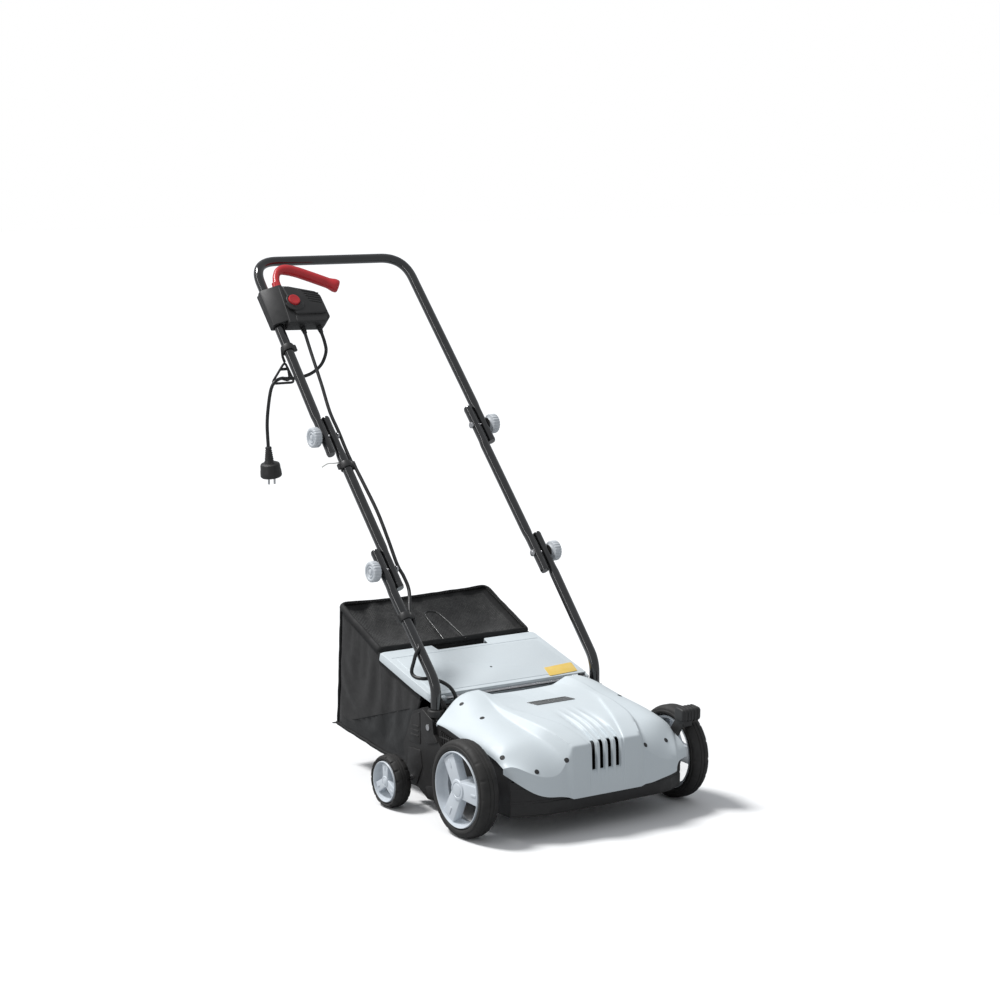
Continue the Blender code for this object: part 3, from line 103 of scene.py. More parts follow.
class Look:
    """A procedural material on a Principled shader, with short calls for its nodes."""

    def __init__(self, name, colour, rough, metal=0.0, coat=0.0):
        self.name = name
        self.material = bpy.data.materials.new(name)
        self.material.use_nodes = True
        self.nodes = self.material.node_tree.nodes
        self.links = self.material.node_tree.links
        self.shader = self.nodes["Principled BSDF"]
        self.shader.inputs["Metallic"].default_value = metal
        self.shader.inputs["Coat Weight"].default_value = coat
        self.shader.inputs["Coat Roughness"].default_value = 0.12
        self.place = self.nodes.new("ShaderNodeTexCoord").outputs["Object"]
        self.colour = self.constant(colour)
        self.rough = rough
        self.height = None

    def constant(self, colour):
        node = self.nodes.new("ShaderNodeRGB")
        node.outputs[0].default_value = (*colour, 1.0)
        return node.outputs[0]

    def noise(self, scale, detail=2.0, stretch=None):
        node = self.nodes.new("ShaderNodeTexNoise")
        node.inputs["Scale"].default_value = scale
        node.inputs["Detail"].default_value = detail
        place = self.place
        if stretch:
            mapping = self.nodes.new("ShaderNodeMapping")
            mapping.inputs["Scale"].default_value = stretch
            self.links.new(place, mapping.inputs["Vector"])
            place = mapping.outputs[0]
        self.links.new(place, node.inputs["Vector"])
        return node.outputs["Fac"]

    def spread(self, value, low, high, to_low=0.0, to_high=1.0):
        node = self.nodes.new("ShaderNodeMapRange")
        settings = (low, high, to_low, to_high)
        for socket, number in zip(("From Min", "From Max", "To Min", "To Max"), settings):
            node.inputs[socket].default_value = number
        self.links.new(value, node.inputs["Value"])
        return node.outputs[0]

    def maths(self, operation, first, second=None):
        node = self.nodes.new("ShaderNodeMath")
        node.operation = operation
        for socket, value in zip(node.inputs, (first, second)):
            if value is None:
                continue
            if isinstance(value, (int, float)):
                socket.default_value = value
            else:
                self.links.new(value, socket)
        return node.outputs[0]

    def mix(self, share, other):
        """Mixes another colour over the present one by a share socket."""
        node = self.nodes.new("ShaderNodeMix")
        node.data_type = "RGBA"
        self.links.new(share, node.inputs[0])
        self.links.new(self.colour, node.inputs[6])
        self.links.new(self.constant(other), node.inputs[7])
        self.colour = node.outputs[2]
        return self

    def vary(self, scale, other, share=1.0):
        return self.mix(self.spread(self.noise(scale, 4.0), 0.35, 0.7, 0.0, share), other)

    def edges(self, other, radius=0.0012, share=0.6):
        """Shows another colour on the rubbed convex edges."""
        bevel = self.nodes.new("ShaderNodeBevel")
        bevel.samples = 4
        bevel.inputs["Radius"].default_value = radius
        normal = self.nodes.new("ShaderNodeNewGeometry").outputs["Normal"]
        dot = self.nodes.new("ShaderNodeVectorMath")
        dot.operation = "DOT_PRODUCT"
        self.links.new(bevel.outputs[0], dot.inputs[0])
        self.links.new(normal, dot.inputs[1])
        worn = self.spread(dot.outputs["Value"], 0.985, 0.9)
        patchy = self.spread(self.noise(90.0, 3.0), 0.4, 0.65, 0.15, share)
        return self.mix(self.maths("MULTIPLY", worn, patchy), other)

    def grain(self, scale, depth, stretch=None, detail=2.0):
        """Adds fine relief of a depth in metres."""
        return self.relief(self.maths("MULTIPLY", self.noise(scale, detail, stretch), depth))

    def relief(self, height):
        self.height = self.maths("ADD", self.height, height) if self.height else height
        return self

    def done(self, rough_scale=70.0, rough_vary=0.07):
        low, high = max(self.rough - rough_vary, 0.02), min(self.rough + rough_vary, 1.0)
        smudge = self.spread(self.noise(rough_scale, 4.0), 0.3, 0.7, low, high)
        self.links.new(smudge, self.shader.inputs["Roughness"])
        self.links.new(self.colour, self.shader.inputs["Base Color"])
        if self.height:
            bump = self.nodes.new("ShaderNodeBump")
            bump.inputs["Distance"].default_value = 1.0
            self.links.new(self.height, bump.inputs["Height"])
            self.links.new(bump.outputs[0], self.shader.inputs["Normal"])
        return self.material


def weave(look, pitch, depth, lift):
    """A plain weave along the mesh's own metric map, with a painted highlight: a lighter colour laid on the
    crowns of its threads, by their height.
    """
    uv = look.nodes.new("ShaderNodeUVMap").outputs[0]
    split = look.nodes.new("ShaderNodeSeparateXYZ")
    look.links.new(uv, split.inputs[0])
    waves = []
    for axis in (0, 1):
        turn = look.maths("MULTIPLY", split.outputs[axis], math.pi / pitch)
        waves.append(look.maths("ABSOLUTE", look.maths("SINE", turn)))
    check = look.nodes.new("ShaderNodeTexChecker")
    check.inputs["Scale"].default_value = 1.0 / pitch
    look.links.new(uv, check.inputs["Vector"])
    over = look.maths("MULTIPLY", waves[0], check.outputs["Fac"])
    under = look.maths("MULTIPLY", waves[1], look.maths("SUBTRACT", 1.0, check.outputs["Fac"]))
    threads = look.maths("ADD", over, under)
    look.relief(look.maths("MULTIPLY", threads, depth))
    # Painted highlight on the thread crowns, in random patches.
    patches = look.spread(look.noise(160.0, 3.0), 0.35, 0.7, 0.25, 1.0)
    return look.mix(look.maths("MULTIPLY", look.spread(threads, 0.55, 1.0), patches), lift)


def make_looks():
    """Every finish by its name, from a base colour, slow and fine colour changes, worn edges and grain."""
    shell = Look("grey_shell", (0.655, 0.715, 0.745), 0.46)
    shell.vary(9.0, (0.69, 0.745, 0.77), 0.7).vary(400.0, (0.62, 0.68, 0.71), 0.25)
    shell.edges((0.78, 0.82, 0.84), 0.0015, 0.5).grain(1400.0, 0.00003)

    hub = Look("hub_grey", (0.6, 0.645, 0.69), 0.38)
    hub.vary(60.0, (0.66, 0.7, 0.74), 0.6).edges((0.82, 0.84, 0.86), 0.001, 0.7)
    hub.grain(1600.0, 0.00003)

    knob = Look("knob_grey", (0.58, 0.61, 0.64), 0.42)
    knob.vary(120.0, (0.66, 0.69, 0.72), 0.6).edges((0.8, 0.82, 0.84), 0.0008, 0.7).grain(1500.0, 0.00004)

    housing = Look("housing_black", (0.017, 0.016, 0.0155), 0.5)
    housing.vary(26.0, (0.024, 0.0225, 0.022), 0.8).vary(300.0, (0.013, 0.012, 0.012), 0.5)
    housing.edges((0.085, 0.082, 0.08), 0.0015, 0.7).grain(900.0, 0.0001)

    box = Look("box_black", (0.024, 0.0235, 0.0235), 0.47)
    box.vary(40.0, (0.032, 0.031, 0.031), 0.7).edges((0.11, 0.11, 0.11), 0.001, 0.7).grain(1300.0, 0.00007)

    tube = Look("tube_black", (0.0045, 0.0045, 0.005), 0.16, coat=0.8)
    tube.vary(35.0, (0.01, 0.01, 0.0105), 0.8).edges((0.16, 0.16, 0.16), 0.0006, 0.35)
    tube.grain(500.0, 0.000012)
    tube.shader.inputs["Coat IOR"].default_value = 1.6
    tube.shader.inputs["Coat Roughness"].default_value = 0.1

    wire = Look("wire_black", (0.012, 0.012, 0.012), 0.3, coat=0.4)
    wire.vary(90.0, (0.03, 0.03, 0.03), 0.5).grain(900.0, 0.00005)

    cable = Look("cable_black", (0.012, 0.012, 0.0125), 0.38)
    cable.vary(80.0, (0.022, 0.022, 0.022), 0.7).grain(1800.0, 0.00006, (1, 1, 0.2))

    red = Look("lever_red", (0.56, 0.022, 0.028), 0.36, coat=0.2)
    red.vary(55.0, (0.48, 0.016, 0.022), 0.8).edges((0.72, 0.1, 0.1), 0.001, 0.6).grain(1300.0, 0.00006)

    rubber = Look("tyre_rubber", (0.02, 0.019, 0.0182), 0.7)
    rubber.vary(45.0, (0.028, 0.0265, 0.025), 0.8).edges((0.075, 0.072, 0.07), 0.0012, 0.6)
    rubber.grain(700.0, 0.00016)

    belt = Look("belt_rubber", (0.018, 0.018, 0.018), 0.75)
    belt.vary(90.0, (0.03, 0.03, 0.03), 0.6).grain(900.0, 0.0001)

    rotor = Look("rotor_black", (0.024, 0.024, 0.024), 0.55)
    rotor.vary(70.0, (0.05, 0.045, 0.035), 0.5).edges((0.12, 0.12, 0.12), 0.001, 0.6).grain(900.0, 0.0001)

    steel = Look("bright_steel", (0.6, 0.6, 0.61), 0.3, metal=1.0)
    steel.vary(150.0, (0.45, 0.45, 0.46), 0.6).grain(700.0, 0.00004, (1.0, 6.0, 6.0))

    motor = Look("motor_metal", (0.42, 0.43, 0.44), 0.48, metal=1.0)
    motor.vary(110.0, (0.32, 0.32, 0.33), 0.7).edges((0.7, 0.7, 0.7), 0.001, 0.6).grain(500.0, 0.0002)

    badge = Look("badge_grey", (0.13, 0.135, 0.135), 0.34, metal=0.5)
    badge.vary(260.0, (0.24, 0.245, 0.245), 0.6).edges((0.5, 0.5, 0.5), 0.0006, 0.6)
    badge.grain(600.0, 0.00004, (1, 9, 1))

    # Each weave's third colour is a painted highlight on its thread crowns.
    net = Look("bag_net", (0.0075, 0.0075, 0.008), 0.72)
    weave(net, 0.0036, 0.00065, (0.105, 0.105, 0.1)).vary(22.0, (0.012, 0.012, 0.012), 0.6)
    cloth = Look("bag_fabric", (0.013, 0.0125, 0.0128), 0.82)
    weave(cloth, 0.0018, 0.0002, (0.034, 0.033, 0.033)).vary(30.0, (0.02, 0.019, 0.019), 0.6)
    for fabric in (net, cloth):
        fabric.shader.inputs["Sheen Weight"].default_value = 0.08
        fabric.shader.inputs["Sheen Roughness"].default_value = 0.45
    coated = Look("bag_coated", (0.01, 0.01, 0.01), 0.46)
    coated.vary(24.0, (0.015, 0.015, 0.015), 0.8).grain(260.0, 0.0004, None, 5.0)
    tape = Look("bag_tape", (0.006, 0.006, 0.0062), 0.74)
    weave(tape, 0.0012, 0.00025, (0.016, 0.016, 0.016)).vary(60.0, (0.01, 0.01, 0.01), 0.6)

    thread = Look("thread_grey", (0.075, 0.075, 0.073), 0.7)
    thread.grain(2200.0, 0.0001)
    sticker = Look("sticker_yellow", (0.8, 0.55, 0.11), 0.42)
    sticker.vary(60.0, (0.85, 0.62, 0.2), 0.7).grain(500.0, 0.00004)
    # Near-black for the flap stud, and for the painted shade of the discs under the cover's screws.
    dark = Look("recess_dark", (0.01, 0.01, 0.011), 0.55)
    dark.vary(200.0, (0.05, 0.05, 0.055), 0.6).grain(800.0, 0.0001)
    nylon = Look("tie_clear", (0.5, 0.5, 0.47), 0.35)
    nylon.vary(90.0, (0.62, 0.62, 0.59), 0.6).grain(900.0, 0.00005)

    plastics = (shell, hub, knob, housing, box, cable, red, rubber, belt, sticker, dark, nylon)
    metals = (tube, wire, rotor, steel, motor, badge)
    fabrics = (net, cloth, coated, tape, thread)
    return {look.name: look.done() for look in plastics + metals + fabrics}


LOOKS = make_looks()

# ---------------------------------------------------------------- shapes


def spaced(start, end, count):
    return [start + (end - start) * i / (count - 1) for i in range(count)]


def circle(radius, steps):
    """Points of a circle in its own plane, from the first axis round."""
    turns = spaced(0, 2 * math.pi, steps + 1)[:-1]
    return [(radius * math.cos(turn), radius * math.sin(turn)) for turn in turns]


def span(side, inner, outer):
    """The low and the high X between two distances from the middle, on one side."""
    return sorted((side * inner, side * outer))


def reaches(path):
    """How far along a path each of its points lies."""
    reach = [0.0]
    for a, b in zip(path, path[1:]):
        reach.append(reach[-1] + (b - a).length)
    return reach


def smooth_path(points, step=0.004):
    """A Catmull-Rom curve through the points, resampled at about an even step."""
    points = [Vector(p) for p in points]
    padded = [points[0] * 2 - points[1], *points, points[-1] * 2 - points[-2]]
    path = [points[0]]
    for a, b, c, d in zip(padded, padded[1:], padded[2:], padded[3:]):
        count = max(2, round((c - b).length / step))
        for i in range(1, count + 1):
            t = i / count
            spot = (2 * b + (c - a) * t + (2 * a - 5 * b + 4 * c - d) * t * t
                    + (3 * b - a - 3 * c + d) * t ** 3) / 2
            path.append(spot)
    return path


def filleted(points, radius, steps=5, closed=True):
    """An outline of 2D or 3D points whose corners are arcs of one radius, or of one radius each."""
    points = [Vector(p).to_3d() for p in points]
    count = len(points)
    radii = radius if isinstance(radius, (list, tuple)) else [radius] * count
    made = []
    for i, corner in enumerate(points):
        if (not closed and i in (0, count - 1)) or radii[i] <= 0:
            made.append(corner)
            continue
        back = points[i - 1] - corner
        ahead = points[(i + 1) % count] - corner
        half = back.angle(ahead) / 2
        reach = min(radii[i] / math.tan(half), back.length * 0.48, ahead.length * 0.48)
        start = corner + back.normalized() * reach
        end = corner + ahead.normalized() * reach
        for t in spaced(0.0, 1.0, steps):
            made.append(start * (1 - t) ** 2 + corner * 2 * t * (1 - t) + end * t * t)
    return made


class Form:
    """Gathers closed shells into one mesh. Its points are in the frame it is given."""

    def __init__(self, place=None):
        self.place = DATUM if place is None else place
        self.bm = bmesh.new()

    def vertex(self, point):
        return self.bm.verts.new(point)

    def bridge(self, rings, loop=False):
        """Faces between rings of points: capped at both ends or, in a loop, back to the first ring."""
        rows = [[self.vertex(p) for p in ring] for ring in rings]
        for near, far in zip(rows, rows[1:] + (rows[:1] if loop else [])):
            for k in range(len(near)):
                n = (k + 1) % len(near)
                self.bm.faces.new((near[k], near[n], far[n], far[k]))
        if not loop:
            self.bm.faces.new(rows[0][::-1])
            self.bm.faces.new(rows[-1])
        return self

    def lathe(self, profile, centre=(0, 0, 0), steps=64, facing=1, shift=None):
        """Turns (radius, x) points about a line along X. Profiles with no point on the axis are closed."""
        cx, cy, cz = centre
        rings = []
        for radius, x in profile:
            level = cx + facing * x
            if radius <= 0:
                rings.append([self.vertex((level, cy, cz))])
                continue
            ring = []
            for k in range(steps):
                angle = 2 * math.pi * k / steps
                r = radius + (shift(angle, radius, x) if shift else 0.0)
                ring.append(self.vertex((level, cy + r * math.cos(angle), cz + r * math.sin(angle))))
            rings.append(ring)
        pairs = list(zip(rings, rings[1:]))
        if min(len(ring) for ring in rings) > 1:
            pairs.append((rings[-1], rings[0]))
        for a, b in pairs:
            for k in range(steps):
                n = (k + 1) % steps
                corners = [a[k % len(a)], b[k % len(b)], b[n % len(b)], a[n % len(a)]]
                self.bm.faces.new(dict.fromkeys(corners))
        return self

    def tube(self, path, radius, sides=20, flat=None, closed=False):
        """A round bar along a path. The radius may be a function of the share along it."""
        path = [Vector(p) for p in path]
        count = len(path)
        reach = reaches(path)
        across = None
        rings = []
        for i, point in enumerate(path):
            before = path[i - 1] if i or closed else point
            after = path[(i + 1) % count] if i < count - 1 or closed else point
            along = (after - before).normalized()
            if across is None:
                across = along.orthogonal().normalized() if flat is None else Vector(flat)
            across = (across - along * across.dot(along)).normalized()
            other = along.cross(across)
            wide = radius(reach[i] / reach[-1]) if callable(radius) else radius
            wide = wide if isinstance(wide, tuple) else (wide, wide)
            rings.append([point + across * wide[0] * c + other * wide[1] * s for c, s in circle(1, sides)])
        return self.bridge(rings, closed)

    def prism(self, outline, low, high, bevel=0.0, axis="z", segments=3, holes=()):
        """An outline given thickness along an axis, with its edges rounded."""
        def at(point, level):
            a, b = point[0], point[1]
            return {"x": (level, a, b), "y": (a, level, b), "z": (a, b, level)}[axis]

        loops = [outline, *holes]
        bottoms = [[self.vertex(at(p, low)) for p in loop] for loop in loops]
        tops = [[self.vertex(at(p, high)) for p in loop] for loop in loops]
        made = []
        for bottom, top in zip(bottoms, tops):
            for k in range(len(bottom)):
                n = (k + 1) % len(bottom)
                made.append(self.bm.faces.new((bottom[k], bottom[n], top[n], top[k])))
        for level in (bottoms, tops):
            if not holes:
                made.append(self.bm.faces.new(level[0]))
                continue
            steps = [step for loop in level for step in zip(loop, loop[1:] + loop[:1])]
            rims = [self.bm.edges.get(step) for step in steps]
            filled = bmesh.ops.triangle_fill(self.bm, edges=rims, use_beauty=True)["geom"]
            made += [item for item in filled if isinstance(item, bmesh.types.BMFace)]
        if bevel:
            bmesh.ops.recalc_face_normals(self.bm, faces=made)
            edges = {edge for face in made for edge in face.edges if len(edge.link_faces) == 2}
            sharp = [edge for edge in edges if edge.calc_face_angle(0.0) > SHARP_TURN]
            bmesh.ops.bevel(self.bm, geom=sharp, offset=bevel, segments=segments, profile=0.5,
                            affect="EDGES", clamp_overlap=True)
        return self

    def brick(self, low, high, bevel=0.0, segments=2):
        x0, y0, z0 = low
        x1, y1, z1 = high
        return self.prism([(x0, y0), (x1, y0), (x1, y1), (x0, y1)], z0, z1, bevel, segments=segments)

    def moved(self, matrix):
        bmesh.ops.transform(self.bm, matrix=matrix, verts=self.bm.verts)
        return self

    def absorb(self, other):
        """Takes over the points and faces of another form."""
        spare = bpy.data.meshes.new("spare")
        other.bm.to_mesh(spare)
        other.bm.free()
        self.bm.from_mesh(spare)
        bpy.data.meshes.remove(spare)


def place_object(name, mesh, body, look, stands_for=(), sharp=35.0):
    """Links a mesh in world metres, gives it its finish, hangs it on its body and hides the CAD nodes it
    stands for.
    """
    mesh.name = name
    obj = bpy.data.objects.new(name, mesh)
    bpy.context.scene.collection.objects.link(obj)
    for item in look if isinstance(look, (list, tuple)) else (look,):
        mesh.materials.append(LOOKS[item])
    mesh.shade_smooth()
    mesh.set_sharp_from_angle(angle=math.radians(sharp))
    if body:
        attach(obj, body)
    if stands_for:
        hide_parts(*stands_for)
    return obj


def piece(name, form, body, look, stands_for=(), sharp=35.0):
    """Turns a form into an object, from the form's own frame to the world."""
    bmesh.ops.recalc_face_normals(form.bm, faces=form.bm.faces)
    form.bm.transform(form.place)
    mesh = bpy.data.meshes.new(name)
    form.bm.to_mesh(mesh)
    form.bm.free()
    return place_object(name, mesh, body, look, stands_for, sharp)


def evaluated_copy(obj):
    graph = bpy.context.evaluated_depsgraph_get()
    return bpy.data.meshes.new_from_object(obj.evaluated_get(graph), depsgraph=graph)


def between(outline, value):
    """The measure at a position, on straight lines through (position, measure) points."""
    points = sorted(outline)
    if value <= points[0][0]:
        return points[0][1]
    for (x0, m0), (x1, m1) in zip(points, points[1:]):
        if value <= x1:
            return m0 + (m1 - m0) * (value - x0) / (x1 - x0)
    return points[-1][1]


def eased(value, low, high):
    """A share from 0 to 1 across a range, with a soft start and end."""
    t = min(max((value - low) / (high - low), 0.0), 1.0)
    return t * t * (3 - 2 * t)


# ---------------------------------------------------------------- wheels


RIM_SHARE = 0.79


def tyre_shift(lobes, depth, radius, width):
    """Blocks on the shoulder of the tread, with notches between them."""
    def shift(angle, r, x):
        if r < radius * 0.9:
            return 0.0
        phase = (angle * lobes / (2 * math.pi)) % 1.0
        edge = min(phase, 1.0 - phase) * 2 * math.pi * radius / lobes
        notch = 1.0 - eased(edge, 0.0009, 0.0028)
        outer = eased(abs(x), width * 0.2, width * 0.34)
        return -depth * notch * outer
    return shift


def tyre(name, body, node, side, radius, width, lobes, depth):
    """A tyre with a groove on either side of its middle and notched shoulders."""
    form = Form(Matrix.Translation(middle(node)))
    rim = radius * RIM_SHARE
    half = width / 2
    groove = radius - 0.0012
    profile = [
        (rim + 0.0006, half - 0.0045), (rim + 0.0022, half - 0.0012), (rim + 0.004, half - 0.0003),
        (rim + 0.0062, half), (radius * 0.885, half), (radius * 0.893, half - 0.0004),
        (radius * 0.897, half - 0.0016), (radius * 0.905, half - 0.0018), (radius * 0.93, half - 0.002),
        (radius * 0.955, half - 0.0034), (radius * 0.978, half - 0.0062), (radius * 0.992, half - 0.0095),
        (radius * 0.998, half - 0.0125), (radius, half * 0.3), (radius, half * 0.26),
        (groove, half * 0.22), (groove, half * 0.16), (radius, half * 0.12), (radius, 0.0),
    ]
    profile += [(r, -x) for r, x in reversed(profile[:-1])]
    form.lathe(profile, steps=lobes * 16, facing=side, shift=tyre_shift(lobes, depth, radius, width))
    return piece(name, form, body, "tyre_rubber", [node], sharp=50.0)


def spoke(angle, inner, outer, wide_in, wide_out):
    """A broad spoke's outline in the wheel's plane."""
    along = Vector((math.cos(angle), math.sin(angle)))
    across = Vector((-along.y, along.x))
    return [
        along * inner - across * wide_in, along * outer - across * wide_out,
        along * outer + across * wide_out, along * inner + across * wide_in,
    ]


def hub(name, body, node, side, radius, width, first):
    """A dished rim, a boss and three spokes, the first at an angle in degrees."""
    form = Form(Matrix.Translation(middle(node)))
    rim = radius * RIM_SHARE - 0.0004
    half = width / 2
    back = 0.003 - half
    barrel = [
        (rim, half - 0.0042), (rim - 0.0004, half - 0.0016), (rim - 0.0014, half - 0.0007),
        (rim - 0.0026, half - 0.0012), (rim - 0.0034, half - 0.003), (rim - 0.0052, half - width * 0.32),
        (rim - 0.008, half - width * 0.52), (rim - 0.01, half - width * 0.56),
        (rim - 0.01, half - width * 0.6), (rim - 0.006, half - width * 0.62), (rim - 0.0042, back),
        (rim, back),
    ]
    form.lathe(barrel, steps=96, facing=side)
    boss = radius * 0.215
    cap = [
        (0.0, half - 0.0022), (boss * 0.52, half - 0.0022), (boss * 0.6, half - 0.0026),
        (boss * 0.63, half - 0.0036), (boss * 0.7, half - 0.0036), (boss * 0.74, half - 0.0026),
        (boss * 0.92, half - 0.003), (boss, half - 0.0048), (boss + 0.0006, half - width * 0.45),
        (boss + 0.0006, back), (0.0, back),
    ]
    form.lathe(cap, steps=48, facing=side)
    reach = rim - 0.0055
    for turn in range(3):
        angle = math.radians(first + 120 * turn)
        blade = spoke(angle, boss * 0.55, reach, boss * 0.8, boss * 0.92)
        form.prism(blade, *span(side, half - width * 0.56, half - width * 0.13), 0.0014, "x")
        rib = filleted(spoke(angle, reach * 0.66, reach * 0.9, boss * 0.1, boss * 0.12), boss * 0.08, 3)
        form.prism(rib, *span(side, half - width * 0.16, half - width * 0.1), 0.0004, "x")
    return piece(name, form, body, "hub_grey", [node], sharp=40.0)


def wheels():
    """Four wheels, from (end, radius, width, tread blocks, depth of the notches, first spoke's angle)."""
    rows = (("front", 0.09, 0.04, 16, 0.0017, 60), ("rear", 0.0507, 0.033, 15, 0.0026, 90))
    for side, name in SIDES:
        for end, radius, width, lobes, depth, first in rows:
            wheel, node = f"{end}_wheel_{name}", f"{end}_{name}"
            tyre(f"{end}_tyre_{name}", wheel, f"{node}_tyre", side, radius, width, lobes, depth)
            hub(f"{end}_rim_{name}", wheel, f"{node}_hub", side, radius, width, first)


# ---------------------------------------------------------------- top cover

# Along the cover as (y, measure): heights of the ridge and the side edge, and how far out the crease runs.
RIDGE = [(0.17, 0.21), (0.09, 0.209), (0.03, 0.205), (-0.045, 0.195), (-0.095, 0.178)]
CREASE = [(0.17, 0.1), (0.09, 0.1135), (0.03, 0.112), (-0.045, 0.0996), (-0.095, 0.078)]
EDGE = [(0.157, 0.1715), (0.083, 0.161), (0.0, 0.155), (-0.064, 0.139), (-0.095, 0.134)]
# The facet beside the crease as (y, width) and (y, drop), then the half width of the dished middle.
FACET = [(0.1, 0.004), (0.03, 0.0105), (-0.095, 0.0165)]
DROP = [(0.1, 0.003), (0.03, 0.0115), (-0.095, 0.023)]
RECESS = [
    (0.17, 0.07), (0.125, 0.085), (0.085, 0.1035), (0.04, 0.0905), (-0.02, 0.0673), (-0.078, 0.0447),
    (-0.1075, 0.0389),
]
# The humped rear edge as (x, height).
REAR_HEIGHT = [
    (0.0, 0.208), (0.06, 0.2085), (0.071, 0.2095), (0.085, 0.218), (0.098, 0.2225), (0.144, 0.2225),
    (0.158, 0.213), (0.18, 0.1885), (0.1985, 0.177), (0.2, 0.1715),
]
# The nose's upper and lower edge from the middle's end round to the wheel, for each side of the machine.
BROW = {
    -1: [
        (0.088, -0.1035, 0.137), (0.104, -0.1073, 0.117), (0.13, -0.105, 0.115), (0.155, -0.0985, 0.1231),
        (0.178, -0.0888, 0.1365), (0.192, -0.0793, 0.1415), (0.2, -0.066, 0.1347),
    ],
    1: [
        (0.088, -0.1035, 0.14), (0.104, -0.1065, 0.127), (0.128, -0.106, 0.112), (0.15, -0.105, 0.1085),
        (0.1655, -0.1035, 0.105), (0.168, -0.1025, 0.105), (0.2, -0.089, 0.105),
    ],
}
CHIN = {
    -1: [
        (0.0865, -0.1118, 0.0745), (0.106, -0.1135, 0.08), (0.13, -0.111, 0.0805), (0.155, -0.1035, 0.088),
        (0.178, -0.0895, 0.105), (0.192, -0.077, 0.117), (0.2, -0.066, 0.1244),
    ],
    1: [
        (0.0865, -0.1118, 0.073), (0.104, -0.1125, 0.0735), (0.125, -0.1115, 0.078), (0.15, -0.1085, 0.0805),
        (0.1655, -0.104, 0.0835), (0.168, -0.1025, 0.1035), (0.2, -0.089, 0.1035),
    ],
}
# Where the columns of the slotted middle stand; GROOVE_CELLS are the cells between them that are cut out.
GROOVES = (0.0, 0.0027, 0.0041, 0.0139, 0.0153, 0.0207, 0.0221, 0.0319, 0.0333)
GROOVE_CELLS = (2, 6)
GROOVE_DEPTH = 0.006
RECESS_DEPTH = 0.003
OUTER = 0.2
COVER_WALL = 0.0028
FRONT_ROW = -0.045


def groove_columns():
    """For each inner column, whether it lies in a groove."""
    return [k - 1 in GROOVE_CELLS or k in GROOVE_CELLS for k in range(len(GROOVES))]


def cover_row(y):
    """Half of one cross-section of the cover, from its middle out to its side edge."""
    ridge, edge, half_dish = between(RIDGE, y), between(EDGE, y), between(RECESS, y)
    crease = between(CREASE, y)
    deep = GROOVE_DEPTH * eased(-y, -0.02, 0.05)
    dish = RECESS_DEPTH * eased(-y, -0.11, -0.04)
    row = [(x, ridge - dish - (deep if cut else 0.0)) for x, cut in zip(GROOVES, groove_columns())]
    foot = ridge - between(DROP, y)
    lower = crease + between(FACET, y)
    row += [(half_dish - 0.0008, ridge - dish), (half_dish + 0.001, ridge)]
    row += [(crease, ridge - 0.001), (lower, foot)]
    for share in (0.3, 0.58, 0.84):
        bow = 0.0115 * math.sin(math.pi * share ** 1.15)
        fall = foot + (edge + 0.01 - foot) * share
        row.append((lower + (OUTER - lower) * share, fall + bow))
    row += [(OUTER - 0.0012, edge + 0.0095), (OUTER, edge + 0.004), (OUTER, edge)]
    hump = eased(y, 0.07, 0.152)
    raised = [(x, z + (between(REAR_HEIGHT, x) - z) * hump) for x, z in row]
    return [Vector((x, y - rear_sweep(x, y), z)) for x, z in raised]


def rear_sweep(x, y):
    """How far the rear edge of the cover curves forward towards its sides."""
    near_rear = min(max((y - 0.12) / 0.0475, 0.0), 1.0)
    return 0.01 * near_rear * (x / OUTER) ** 3


def cover_nose(level, side):
    """Half of one row of the nose: level 0 is its brow and level 1 its lower edge."""
    row = []
    cuts = groove_columns() + [False, False, False]
    for x, cut in zip(list(GROOVES) + [0.0377, 0.0395, 0.0765], cuts):
        depth = GROOVE_DEPTH * (cut and level < 0.54)
        dish = 0.0022 if x < 0.0385 and level < 0.9 else 0.0
        y = -0.107 if level == 0.0 else -0.1085 - 0.004 * level
        z = 0.1655 - 0.35 * depth + (0.07 - 0.1655) * level
        row.append(Vector((x, y + depth + dish, z)))
    row += [Vector(a).lerp(Vector(b), level) for a, b in zip(BROW[side], CHIN[side])]
    return row


def cover_fall(share, side):
    """Half of one row between the last straight cross-section and the brow, on a curve that steepens."""
    start, end = cover_row(FRONT_ROW), cover_nose(0.0, side)
    row = []
    for k, (a, b) in enumerate(zip(start, end)):
        wing = k > len(GROOVES) + 3
        keep, slope = (0.38, 0.45) if wing else (0.28, 0.34)
        if side > 0 and k >= len(start) - 3:
            keep, slope = 0.03, 0.34
        turn = Vector((a.x + (b.x - a.x) * (1 - keep), b.y + (a.y - b.y) * keep, 0))
        turn.z = a.z - slope * (a.y - turn.y)
        row.append(a * (1 - share) ** 2 + turn * 2 * share * (1 - share) + b * share ** 2)
    return row


def rear_lip(x):
    """How far the lip at the cover's rear edge hangs down."""
    return 0.004 + 0.018 * (1 - (x / OUTER) ** 2)


COVER_ROWS = (0.1675, 0.163, 0.15, 0.13, 0.105, 0.075, 0.045, 0.015, -0.015, FRONT_ROW)
FALL_SHARES = (0.25, 0.48, 0.66, 0.8, 0.9)
NOSE_LEVELS = (0.0, 0.1, 0.22, 0.5, 0.55, 0.96, 1.0)
FIRST_NOSE = 1 + len(COVER_ROWS) + len(FALL_SHARES)


def half_rows(side):
    """All rows of points on one side of the cover, from its rear lip to the lower edge of its nose."""
    rear = cover_row(COVER_ROWS[0])
    rows = [[Vector((p.x, p.y + 0.002, p.z - rear_lip(p.x))) for p in rear]]
    rows += [cover_row(y) for y in COVER_ROWS]
    rows += [cover_fall(share, side) for share in FALL_SHARES]
    rows += [cover_nose(level, side) for level in NOSE_LEVELS]
    return [[(side * p.x, p.y, p.z) for p in row] for row in rows]


